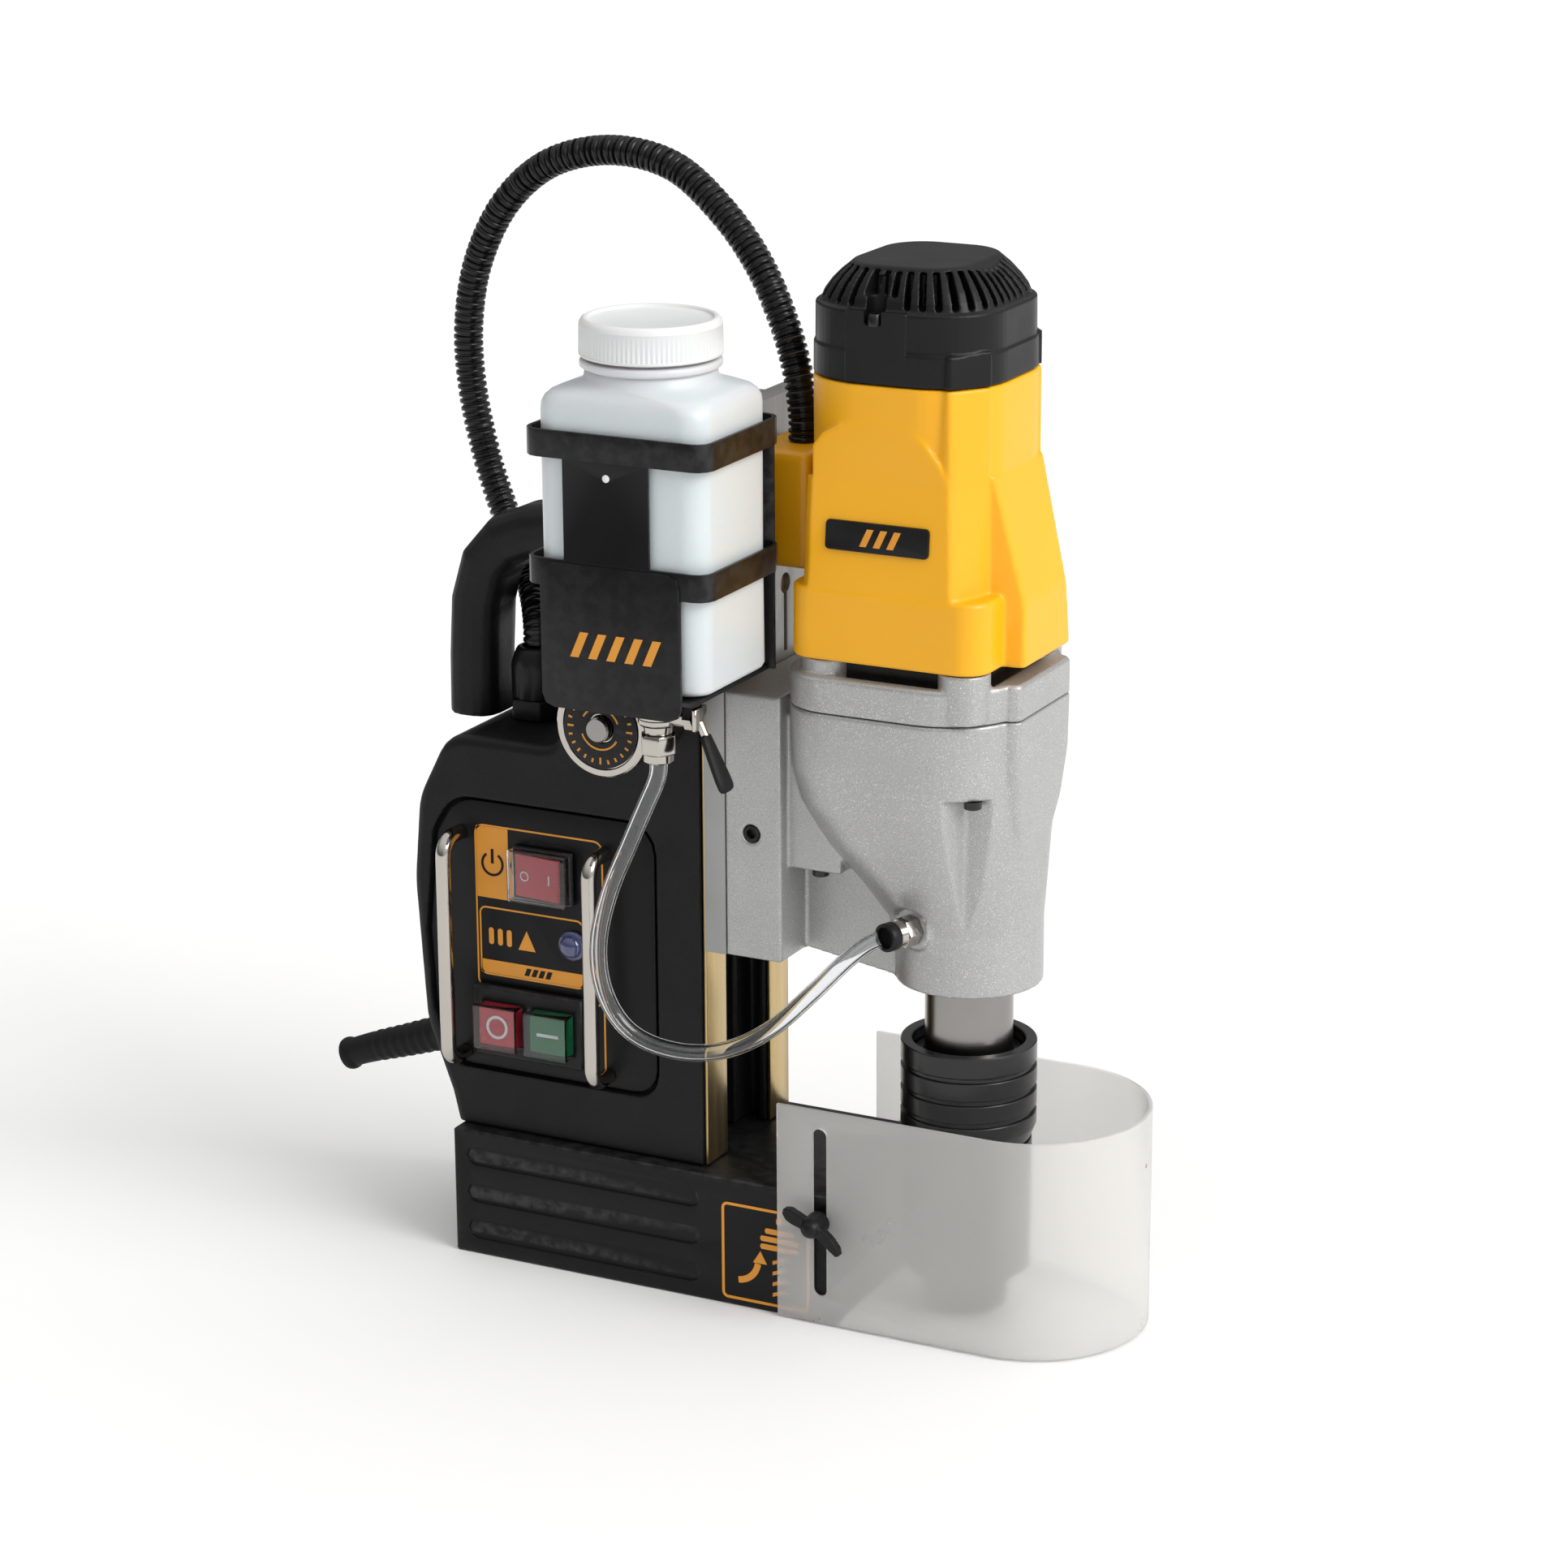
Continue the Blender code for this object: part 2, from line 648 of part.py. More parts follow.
def make_gland():
    low = 211.5 + GAP
    place("gland_base", prism_mesh(hexagon(GLAND_X, GLAND_Y, 12.0), low, low + 8.0), SATIN_BLACK)
    turned(
        "gland_nut",
        (
            (7.4, 240.0), (8.8, 239.0), (9.9, 236.6), (10.5, 233.0), (10.5, low + 8.3),
            (6.2, low + 8.3), (6.2, 240.0),
        ),
        SATIN_BLACK,
        (GLAND_X, GLAND_Y, 0),
        "Z",
        24,
    )
    tube("power_conduit", smooth_route(CONDUIT_ROUTE, 12.0), CONDUIT_RADIUS, SATIN_BLACK, 2)


# Coolant bottle, bracket and tap


def bottle_rect(half_x, half_y, radius):
    return rounded_rect(half_x, half_y, radius, (BOTTLE_X, BOTTLE_Y), 3)


def make_bottle():
    sections = (
        (256.3, 31.6, 25.0, 8.0), (258.8, 34.2, 27.4, 9.0), (358.0, 34.2, 27.4, 9.0),
        (361.6, 33.0, 26.4, 10.0), (363.6, 29.6, 25.0, 14.0), (365.2, 24.6, 24.0, 22.0),
        (366.6, 22.6, 22.6, 22.5), (376.0, 22.6, 22.6, 22.5),
    )
    rings = [[(x, y, z) for x, y in bottle_rect(hx, hy, r)] for z, hx, hy, r in sections]
    bottle = place("coolant_bottle", loft_mesh(rings), WHITE)
    join(
        bottle, "neck_ring", rod_mesh((BOTTLE_X, BOTTLE_Y, 370.4), (BOTTLE_X, BOTTLE_Y, 373.4), 25.6, 24)
    )
    inner = (
        (258.1, 30.8, 24.0, 7.0), (260.1, 32.7, 25.9, 7.5), (357.4, 32.7, 25.9, 7.5),
        (360.4, 31.4, 25.0, 9.0), (362.2, 28.0, 23.6, 13.0), (364.6, 21.0, 21.0, 20.9),
        (380.0, 21.0, 21.0, 20.9),
    )
    rings = [[(x, y, z) for x, y in bottle_rect(hx, hy, r)] for z, hx, hy, r in inner]
    cut(bottle, "bottle_inside", loft_mesh(rings))
    turned(
        "bottle_cap",
        (
            (0, 386.8), (21.5, 386.8), (23.0, 388.2), (25.2, 387.8), (26.0, 386.4), (26.0, 374.6),
            (24.7, 374.6), (24.7, 384.0), (0, 384.0),
        ),
        WHITE,
        (BOTTLE_X, BOTTLE_Y, 0),
        "Z",
        32,
    )


def make_bracket():
    bracket = place(
        "bottle_bracket", prism_mesh(bottle_rect(37.4, 29.9, 6.5), 340.0, 350.0), SATIN_BLACK
    )
    join(bracket, "lower_strap", prism_mesh(bottle_rect(37.4, 29.9, 6.5), 293.0, 303.0))
    join(bracket, "front_strip", box_mesh((2.4, -96.0, 295), (37.0, -94.9, 347)))
    plate = [(x + 21.3, z + 275.2) for x, z in rounded_rect(28.3, 27.0, 5.0, steps=2)]
    join(bracket, "front_plate", prism_mesh(plate, -97.2, -95.6, "Y"))
    join(bracket, "back_plate", box_mesh((-11.0, -37.5, 254.6), (57.0, -36.5, 344)))
    join(bracket, "shelf", box_mesh((-6.6, -96.6, 254.4), (54.4, -36.7, 255.9)))
    cut(bracket, "strap_inside", prism_mesh(bottle_rect(36.0, 28.5, 5.1), 256.0, 380.0))
    cut(bracket, "tap_hole", rod_mesh((TAP_X, TAP_Y, 245), (TAP_X, TAP_Y, 262), 7.5, 24))
    cut(bracket, "strip_hole", rod_mesh((20.2, -99, 334.5), (20.2, -90, 334.5), 1.5, 12))
    cut(bracket, "screw_hole", rod_mesh((0, -40, 270), (0, -30, 270), 2.5, 12))


def make_tap():
    body = turned(
        "tap_body",
        (
            (0, 255.9), (6.4, 255.9), (6.4, 251.6), (7.4, 251.0), (7.4, 241.4), (5.2, 240.0),
            (5.2, 237.4), (0, 237.4),
        ),
        CHROME,
        (TAP_X, TAP_Y, 0),
        "Z",
        24,
    )
    stem_end = (TAP_X + 15.6, TAP_Y, TAP_Z)
    join(body, "tap_stem", rod_mesh((TAP_X, TAP_Y, TAP_Z), stem_end, 4.2, 16))
    nut = place("tap_nut", prism_mesh(hexagon(TAP_X, TAP_Y, 7.0), 228.0, 237.1), CHROME)
    join(nut, "tap_nut_collar", rod_mesh((TAP_X, TAP_Y, 226.4), (TAP_X, TAP_Y, 230), 5.6, 24))
    pivot = Vector((TAP_X + 17.2, TAP_Y, TAP_Z))
    lever = place(
        "tap_lever",
        box_mesh(pivot + Vector((-1.2, -4.6, -4.4)), pivot + Vector((0.6, 4.6, 4.2)), 0.5, 1),
        CHROME,
        pivot,
    )
    blade_start, blade_end = pivot + Vector((-0.2, 0, -1.5)), pivot + Vector((9.4, 0, -22.5))
    join(lever, "lever_blade", rod_mesh(blade_start, blade_end, 1.6, 12))
    along = (blade_end - blade_start).normalized()
    sleeve_start, sleeve_end = blade_start + along * 5.2, blade_end + along * 4.2
    sleeve = place(
        "lever_sleeve", rod_mesh(sleeve_start, sleeve_end, 2.9, 16, 4.2), SATIN_BLACK, pivot
    )
    cut(sleeve, "sleeve_bore", rod_mesh(blade_start, blade_end + along * 0.5, 1.95, 12))
    tube("coolant_tube", smooth_route(TUBE_ROUTE, 8.0), TUBE_RADIUS, CLEAR, 2)


# Chip guard and its wing screws


def guard_outline(inset):
    half, front, corner = GUARD_HALF - inset, GUARD_FRONT - inset, GUARD_CORNER - inset
    right = [
        (x, y)
        for x, y in rounded_rect(
            (front - GUARD_REAR) / 2, half, corner, ((front + GUARD_REAR) / 2, 0), steps=8
        )
        if x > (front + GUARD_REAR) / 2
    ]
    ordered = sorted(right, key=lambda point: point[1])
    return [(GUARD_REAR, -half), *ordered, (GUARD_REAR, half)]


def make_guard():
    outer = guard_outline(0.0)
    inner = guard_outline(GUARD_SHEET)
    outline = outer + list(reversed(inner))
    guard = place("chip_guard", prism_mesh(outline, GUARD_LOW, GUARD_HIGH), FROST)
    slot = [(x + WING_X, z + 45.7) for x, z in rounded_rect(2.9, 33.9, 2.85, steps=3)]
    cut(guard, "guard_slots", prism_mesh(slot, -60, 60, "Y"))
    for name, side in (("wing_screw_near", -1), ("wing_screw_far", 1)):
        face = side * (GUARD_HALF + GAP)
        screw = place(
            name,
            rod_mesh((WING_X, face, WING_Z), (WING_X, face + side * 7.5, WING_Z), 4.6, 20),
            SATIN_BLACK,
            (WING_X, face, WING_Z),
        )
        join(
            screw,
            name + "_shank",
            rod_mesh((WING_X, side * 31, WING_Z), (WING_X, face + side * 2, WING_Z), 2.3, 12),
        )
        for wing in (-1, 1):
            tip = (WING_X + wing * 9.2, face + side * 8.5, WING_Z - wing * 7.0)
            join(
                screw,
                f"{name}_wing_{wing}",
                rod_mesh((WING_X, face + side * 4.2, WING_Z), tip, 2.2, 12, 3.4),
            )


# Feed shaft, hub and release pin


def make_feed():
    pinion = place(
        "feed_pinion",
        rod_mesh((FEED_X, -55, FEED_Z), (FEED_X, 44, FEED_Z), 7.5, 20),
        STEEL,
        (FEED_X, 0, FEED_Z),
    )
    teeth = gear_outline(FEED_TEETH, FEED_MODULE, 0.0, (FEED_X, FEED_Z))
    join(pinion, "pinion_teeth", prism_mesh(teeth, -7, 7, "Y"))
    hub = place(
        "quick_release_hub",
        rod_mesh((FEED_X, -69, FEED_Z), (FEED_X, -36.4, FEED_Z), 18.8, 40),
        CHROME,
        (FEED_X, 0, FEED_Z),
    )
    cut(hub, "hub_bore", rod_mesh((FEED_X, -57.5, FEED_Z), (FEED_X, -30, FEED_Z), 7.8, 20))
    cut(hub, "pin_bore", rod_mesh((FEED_X, -75, FEED_Z), (FEED_X, -50, FEED_Z), 5.1, 24))
    cut(hub, "dial_recess", rod_mesh((FEED_X, -75, FEED_Z), (FEED_X, -68.2, FEED_Z), 15.6, 32))
    dial = place(
        "hub_dial",
        rod_mesh((FEED_X, -69.4, FEED_Z), (FEED_X, -68.5, FEED_Z), 15.2, 32),
        SATIN_BLACK,
        (FEED_X, 0, FEED_Z),
    )
    cut(dial, "dial_bore", rod_mesh((FEED_X, -75, FEED_Z), (FEED_X, -60, FEED_Z), 5.6, 24))
    place(
        "release_pin",
        rod_mesh((FEED_X, -72.4, FEED_Z), (FEED_X, -60.5, FEED_Z), 4.75, 24),
        STEEL,
        (FEED_X, -69, FEED_Z),
    )
    for name, low, high, outer in (
        ("shaft_bush_near", -35.7, -9.5, 11.7),
        ("shaft_bush_far", 9.5, 35.7, 14.0),
    ):
        bush = place(
            name, rod_mesh((FEED_X, low, FEED_Z), (FEED_X, high, FEED_Z), outer, 24), BRASS
        )
        bore = rod_mesh((FEED_X, low - 3, FEED_Z), (FEED_X, high + 3, FEED_Z), 7.8, 20)
        cut(bush, name + "_bore", bore)
    cap = place(
        "shaft_end_cap",
        rod_mesh((FEED_X, 36.4, FEED_Z), (FEED_X, 47.5, FEED_Z), 16.0, 28),
        CHROME,
        (FEED_X, 0, FEED_Z),
    )
    cut(cap, "cap_bore", rod_mesh((FEED_X, 30, FEED_Z), (FEED_X, 44.4, FEED_Z), 7.8, 20))


# Slide and gearbox


def make_slide():
    half = SLIDE_HALF
    outline = (
        (25.9, -half), (SLIDE_FACE, -half), (SLIDE_FACE, half), (25.9, half), (25.9, 16.7),
        (20.0, 16.7), (20.0, 21.5), (15.6, 21.5), (15.6, 8.4), (19.4, 8.4), (19.4, -8.4),
        (15.6, -8.4), (15.6, -21.5), (20.0, -21.5), (20.0, -16.7), (25.9, -16.7),
    )
    slide = place("slide_bar", prism_mesh(outline, SLIDE_LOW, SLIDE_HIGH), SILVER)
    cut(slide, "slide_groove", box_mesh((32.6, 14.4, 246), (40, 17.0, 270)))
    cut(slide, "slide_keyhole", rod_mesh((32.4, 15.7, 272.5), (40, 15.7, 272.5), 4.0, 16))
    pitch = math.pi * FEED_MODULE
    pitch_line = FEED_X + FEED_MODULE * FEED_TEETH / 2
    tip, root = pitch_line - 0.85 * FEED_MODULE, pitch_line + 1.2 * FEED_MODULE
    slope = math.tan(math.radians(20))
    half_pitch = pitch / 4 * 0.8
    outline = [(19.0, SLIDE_HIGH - 1), (19.0, SLIDE_LOW + 0.5)]
    first = math.ceil((SLIDE_LOW + 3 - FEED_Z) / pitch - 0.5)
    last = math.floor((SLIDE_HIGH - 4 - FEED_Z) / pitch - 0.5)
    outline.append((root, SLIDE_LOW + 0.5))
    for tooth in range(first, last + 1):
        middle = FEED_Z + (tooth + 0.5) * pitch
        wide = half_pitch + slope * (root - pitch_line)
        narrow = half_pitch - slope * (pitch_line - tip)
        outline += [(root, middle - wide), (tip, middle - narrow), (tip, middle + narrow),
                    (root, middle + wide)]
    outline.append((root, SLIDE_HIGH - 1))
    place("feed_rack", prism_mesh(outline, -8.0, 8.0, "Y"), STEEL)


GEARBOX_SECTIONS = (
    (145.0, 119.3, 27.4, 27.4, 27.3),
    (158.0, 118.2, 28.8, 28.2, 27.8),
    (172.0, 113.2, 33.4, 32.0, 28.0),
    (188.0, 107.6, 38.6, 38.0, 26.0),
    (204.0, 104.2, 42.4, 42.2, 23.0),
    (218.0, 103.2, 43.7, 43.7, 20.5),
    (GEARBOX_TOP - GAP, GEARBOX_X, GEARBOX_HALF, GEARBOX_HALF, 20.0),
)


def make_gearbox():
    gearbox = place("gearbox_casting", loft_mesh(stacked(GEARBOX_SECTIONS)), SILVER)
    join(
        gearbox,
        "carriage_block",
        box_mesh((SLIDE_FACE + GAP, -35.4, SLIDE_LOW), (58, 35.4, 243), 1.5, 1),
    )
    web = ((50, 235), (50, 141.5), (98, 134.2), (112, 150), (112, 235))
    join(gearbox, "web", prism_mesh(web, -15, 15, "Y"))
    join(gearbox, "upper_web", box_mesh((52, -30, 176), (80, 30, 235.5)))
    join(
        gearbox,
        "nose",
        rod_mesh((SPINDLE_X, 0, NOSE_LOW), (SPINDLE_X, 0, 155.3), NOSE_RADIUS, 32),
    )
    toward = Vector((math.cos(FITTING_ANGLE), math.sin(FITTING_ANGLE), 0))
    axis_point = Vector((SPINDLE_X, 0, FITTING_Z))
    face = axis_point + toward * 29.6
    join(gearbox, "fitting_boss", rod_mesh(axis_point + toward * 15, face, 8.0, 20))
    cut(gearbox, "fitting_flat", rod_mesh(face, axis_point + toward * 45, 8.6, 20))
    cavity = stacked(
        (
            (199.0, 104.0, 33.0, 31.0, 24.0),
            (212.0, 104.0, 34.0, 32.0, 24.0),
            (245.0, 104.0, 34.0, 32.0, 24.0),
        )
    )
    cut(gearbox, "gear_cavity", loft_mesh(cavity))
    cut(gearbox, "lay_pocket", rod_mesh((LAY_X, LAY_Y, 223), (LAY_X, LAY_Y, 246), 19.7, 24))
    cut(gearbox, "nose_bore", rod_mesh((SPINDLE_X, 0, 110), (SPINDLE_X, 0, 172.6), 17.3, 28))
    cut(gearbox, "neck_bore", rod_mesh((SPINDLE_X, 0, 165), (SPINDLE_X, 0, 206), 10.6, 20))
    cut(gearbox, "plug_hole", rod_mesh((45.5, -40, 188.8), (45.5, -30, 188.8), 3.6, 20))
    for side in (-1, 1):
        mouth = ((126.5, 47.0), (146.0, 46.0), (150.5, 31.0), (133.5, 31.5))
        tip = ((130.1, 26.6), (130.3, 26.6), (130.3, 26.4), (130.1, 26.4))
        rings = [[(x, side * y, z) for x, y in ring] for ring, z in ((tip, 158.0), (mouth, 213.5))]
        cut(gearbox, f"flute_{side}", loft_mesh(rings))
    make_cover()
    turned(
        "spindle_bearing",
        ((17.0, 172.2), (17.0, 158.6), (10.3, 158.6), (10.3, 172.2)),
        STEEL,
        (SPINDLE_X, 0, 0),
        "Z",
        32,
    )
    place("block_plug", rod_mesh((45.5, -35.2, 188.8), (45.5, -30.4, 188.8), 3.3, 20), SATIN_BLACK)


def make_cover():
    half, centre = GEARBOX_HALF, GEARBOX_X
    cover = place(
        "gearbox_cover",
        loft_mesh(
            stacked(
                (
                    (GEARBOX_TOP, centre, half, half, 20.0),
                    (COVER_RIM - 2.0, centre, half, half, 20.0),
                    (COVER_RIM, centre, half - 1.4, half - 1.4, 18.6),
                    (COVER_RIM + 0.1, centre, half - 4, half - 4, 16.0),
                    (COVER_TOP, centre, half - 4, half - 4, 16.0),
                )
            )
        ),
        SILVER,
    )
    cut(cover, "armature_bore", rod_mesh((MOTOR_X, 0, 230), (MOTOR_X, 0, 270), 8.0, 24))


# Motor

MOTOR_SECTIONS = (
    (MOTOR_LOW, 102.2, 39.0, 41.4, 13.0),
    (264.0, 102.2, 39.4, 41.8, 13.0),
    (288.0, 102.0, 39.0, 41.2, 13.0),
    (292.0, 101.4, 37.8, 40.4, 17.0),
    (326.0, 100.4, 36.6, 36.8, 20.0),
    (MOTOR_SPLIT, 100.4, 36.4, 36.6, 21.0),
)


def make_motor():
    shell = place("motor_shell", loft_mesh(stacked(MOTOR_SECTIONS)), YELLOW)
    rings = [
        [(x, y, z) for x, y in ((110.0, -23.0), (front, -edge), (front, edge), (110.0, 23.0))]
        for z, front, edge in (
            (MOTOR_LOW, 149.6, 20.4), (286.0, 148.4, 18.6), (331.0, 136.4, 21.6),
        )
    ]
    join(shell, "front_flare", loft_mesh(rings))
    inside = stacked(
        (
            (MOTOR_LOW - 4, 102.0, 35.8, 37.6, 11.0),
            (286.0, 101.8, 35.4, 37.4, 11.0),
            (294.0, 100.6, 33.8, 36.0, 15.0),
            (322.0, 100.4, 33.4, 33.5, 16.0),
            (MOTOR_SPLIT + 4, 100.4, 33.4, 33.5, 16.0),
        )
    )
    cut(shell, "motor_inside", loft_mesh(inside))
    dome = (
        (MOTOR_SPLIT + GAP, MOTOR_X, 36.4, 36.4, 20.0),
        (390.5, MOTOR_X, 36.2, 36.2, 20.0),
        (391.5, MOTOR_X, 34.6, 34.8, 20.0),
        (398.0, MOTOR_X, 30.2, 32.4, 19.0),
        (402.5, MOTOR_X, 26.0, 29.6, 18.0),
        (404.8, MOTOR_X, 22.8, 27.0, 16.0),
        (MOTOR_TOP, MOTOR_X, 20.5, 24.8, 14.5),
    )
    cap = place("motor_cap", loft_mesh(stacked(dome)), SATIN_BLACK)
    hollow = (
        (MOTOR_SPLIT - 4, MOTOR_X, 33.2, 33.2, 17.0),
        (388.5, MOTOR_X, 32.2, 32.2, 17.0),
        (396.0, MOTOR_X, 27.0, 29.0, 16.0),
        (401.5, MOTOR_X, 21.5, 24.5, 13.0),
    )
    cut(cap, "cap_inside", loft_mesh(stacked(hollow)))
    core = prism_mesh(rounded_rect(32.6, 32.6, 15.4, (MOTOR_X, 0)), 324.0, 352.0)
    stator = place("stator", core, STEEL)
    cut(stator, "stator_bore", rod_mesh((MOTOR_X, 0, 310), (MOTOR_X, 0, 360), 22.0, 28))
    place(
        "connector_block",
        box_mesh((SLIDE_FACE + GAP, -20, 288), (62.2, 20, 332), 3.0, 2),
        YELLOW,
    )


def make_drive():
    toward_lay = math.atan2(LAY_Y, LAY_X - MOTOR_X)
    armature = turned(
        "armature",
        (
            (0, 394.0), (3.6, 394.0), (3.6, 374.0), (11.5, 374.0), (11.5, 358.0), (5.0, 358.0),
            (5.0, 354.0), (21.0, 354.0), (21.0, 322.0), (4.8, 322.0), (4.8, 236.5), (2.0, 236.5),
            (2.0, 224.0), (0, 224.0),
        ),
        STEEL,
        (MOTOR_X, 0, 0),
        "Z",
        20,
    )
    teeth = gear_outline(ARMATURE_TEETH, GEAR_MODULE, toward_lay, (MOTOR_X, 0))
    join(armature, "armature_teeth", prism_mesh(teeth, 225.0, 235.5))
    blades = gear_outline(11, 4.2, 0.0, (MOTOR_X, 0), 0.9, 2.4, 0.45)
    fan = place("cooling_fan", prism_mesh(blades, 268.0, 280.0), SATIN_BLACK, (MOTOR_X, 0, 270))
    join(fan, "fan_disc", rod_mesh((MOTOR_X, 0, 265.6), (MOTOR_X, 0, 269.2), 27.4, 28))
    cut(fan, "fan_bore", rod_mesh((MOTOR_X, 0, 250), (MOTOR_X, 0, 290), 5.1, 24))
    lay = turned(
        "lay_gear",
        ((0, 236.4), (4.0, 236.4), (4.0, 217.0), (3.4, 217.0), (3.4, 199.4), (0, 199.4)),
        STEEL,
        (LAY_X, LAY_Y, 0),
        "Z",
        20,
    )
    teeth = gear_outline(
        LAY_BIG_TEETH, GEAR_MODULE, toward_lay + math.pi + math.pi / LAY_BIG_TEETH, (LAY_X, LAY_Y)
    )
    join(lay, "lay_big_teeth", prism_mesh(teeth, 226.0, 234.5))
    toward_spindle = math.atan2(-LAY_Y, SPINDLE_X - LAY_X)
    teeth = gear_outline(LAY_SMALL_TEETH, GEAR_MODULE, toward_spindle, (LAY_X, LAY_Y))
    join(lay, "lay_small_teeth", prism_mesh(teeth, 204.0, 216.0))
    spindle = turned(
        "spindle",
        (
            (0, 222.0), (9.0, 222.0), (10.0, 221.0), (10.0, 158.3), (16.7, 158.3), (16.7, 63.0),
            (15.7, 62.0), (0, 62.0),
        ),
        STEEL,
        (SPINDLE_X, 0, 0),
        "Z",
        24,
    )
    teeth = gear_outline(
        SPINDLE_TEETH, GEAR_MODULE, toward_spindle + math.pi + math.pi / SPINDLE_TEETH, (SPINDLE_X, 0)
    )
    join(spindle, "spindle_teeth", prism_mesh(teeth, 206.0, 214.0))


def make_arbor():
    turned(
        "tool_arbor",
        (
            (17.1, 103.6), (20.8, 103.6), (20.8, 69.6), (24.2, 69.6), (24.2, 18.6), (22.4, 16.8),
            (15.6, 16.4), (15.6, 4.6), (14.2, 3.2), (9.6, 3.2), (9.6, 48.0), (17.1, 48.0),
        ),
        SATIN_BLACK,
        (SPINDLE_X, 0, 0),
        "Z",
        24,
    )
    rings = [(25.85, 109.0)]
    for top in (101.0, 92.0, 83.0):
        rings += [(25.85, top), (24.6, top - 1.1), (25.85, top - 2.2)]
    rings += [(25.85, 75.5), (23.4, 70.0)]
    turned(
        "locking_collar",
        ((21.4, 109.0), *rings, (21.4, 70.0)),
        SATIN_BLACK,
        (SPINDLE_X, 0, 0),
        "Z",
        24,
    )


def make_fitting():
    toward = Vector((math.cos(FITTING_ANGLE), math.sin(FITTING_ANGLE), 0))
    axis_point = Vector((SPINDLE_X, 0, FITTING_Z))
    base = axis_point + toward * 29.9
    side = Vector((-toward.y, toward.x, 0))
    spokes = [side * u + Vector((0, 0, v)) for u, v in hexagon(0, 0, 5.8)]
    rings = [[base + toward * reach + spoke for spoke in spokes] for reach in (0.0, 6.2)]
    fitting = place("coolant_fitting", loft_mesh(rings), CHROME)
    join(fitting, "fitting_neck", rod_mesh(base + toward * 5, base + toward * 9.4, 4.9, 20))
    collet = place(
        "fitting_collet", rod_mesh(base + toward * 9.7, base + toward * 14.2, 5.4, 24), SATIN_BLACK
    )
    cut(collet, "collet_mouth", rod_mesh(base + toward * 11.4, base + toward * 20, 4.0, 20))


make_magnet()
make_column()
make_handle()
make_ways()
make_panel()
make_boot()
make_gland()
make_bottle()
make_bracket()
make_tap()
make_guard()
make_feed()
make_slide()
make_gearbox()
make_motor()
make_drive()
make_arbor()
make_fitting()
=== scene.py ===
import json
import math

import bmesh
import bpy
from mathutils import Matrix, Vector


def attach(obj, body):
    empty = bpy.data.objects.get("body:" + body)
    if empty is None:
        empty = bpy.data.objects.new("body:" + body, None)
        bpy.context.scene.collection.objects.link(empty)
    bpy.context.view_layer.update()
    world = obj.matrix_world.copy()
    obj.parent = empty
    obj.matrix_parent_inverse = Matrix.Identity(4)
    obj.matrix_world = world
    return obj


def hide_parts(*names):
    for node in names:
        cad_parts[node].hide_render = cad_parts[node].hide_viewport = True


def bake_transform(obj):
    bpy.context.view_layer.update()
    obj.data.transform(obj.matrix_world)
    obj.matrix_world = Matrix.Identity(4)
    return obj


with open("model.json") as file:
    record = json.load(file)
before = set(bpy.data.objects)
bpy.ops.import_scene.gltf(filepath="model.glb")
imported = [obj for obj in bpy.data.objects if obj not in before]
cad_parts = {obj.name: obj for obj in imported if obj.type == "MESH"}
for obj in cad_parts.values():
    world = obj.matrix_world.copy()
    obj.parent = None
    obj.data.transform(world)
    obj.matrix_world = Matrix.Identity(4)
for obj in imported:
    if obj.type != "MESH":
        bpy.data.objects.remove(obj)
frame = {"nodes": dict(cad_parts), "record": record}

# Magnetic drill press: the finished surfaces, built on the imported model. Shapes are in millimetres.

MM = 0.001
SCENE = bpy.context.scene
NODES = frame["nodes"]
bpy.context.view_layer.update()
SLOT_OF = {row["node"]: row["material_slot"] for row in frame["record"]["subparts"]}


# Camera


def make_camera():
    azimuth, elevation, roll = math.radians(26.889), math.radians(16.964), math.radians(-0.305)
    back = Vector((math.sin(azimuth) * math.cos(elevation), -math.cos(azimuth) * math.cos(elevation),
        math.sin(elevation)))
    right = Vector((math.cos(azimuth), math.sin(azimuth), 0.0))
    up = back.cross(right)
    turned_right = right * math.cos(roll) + up * math.sin(roll)
    turned_up = up * math.cos(roll) - right * math.sin(roll)
    data = bpy.data.cameras.new("camera")
    data.sensor_width = 36.0
    data.lens = 100.63
    camera = bpy.data.objects.new("camera", data)
    turn = Matrix((turned_right, turned_up, back)).transposed().to_4x4()
    camera.matrix_world = Matrix.Translation(Vector((760.97, -1418.73, 683.39)) * MM) @ turn
    SCENE.collection.objects.link(camera)
    SCENE.camera = camera


make_camera()

# Shape helpers, all in millimetres


def skin(rings, loop=False):
    """Joins rings of equal point counts, closed into a loop or capped at both ends."""
    made = bmesh.new()
    rows = [[made.verts.new(point) for point in ring] for ring in rings]
    pairs = list(zip(rows, rows[1:]))
    if loop:
        pairs.append((rows[-1], rows[0]))
    for lower, upper in pairs:
        for index in range(len(lower)):
            following = (index + 1) % len(lower)
            made.faces.new((lower[index], lower[following], upper[following], upper[index]))
    if not loop:
        made.faces.new(reversed(rows[0]))
        made.faces.new(rows[-1])
    bmesh.ops.remove_doubles(made, verts=made.verts, dist=0.0005)
    bmesh.ops.recalc_face_normals(made, faces=made.faces)
    return made


def box(low, high):
    made = bmesh.new()
    bmesh.ops.create_cube(made, size=1.0)
    low, high = Vector(low), Vector(high)
    bmesh.ops.scale(made, verts=made.verts, vec=high - low)
    bmesh.ops.translate(made, verts=made.verts, vec=(low + high) / 2)
    return made


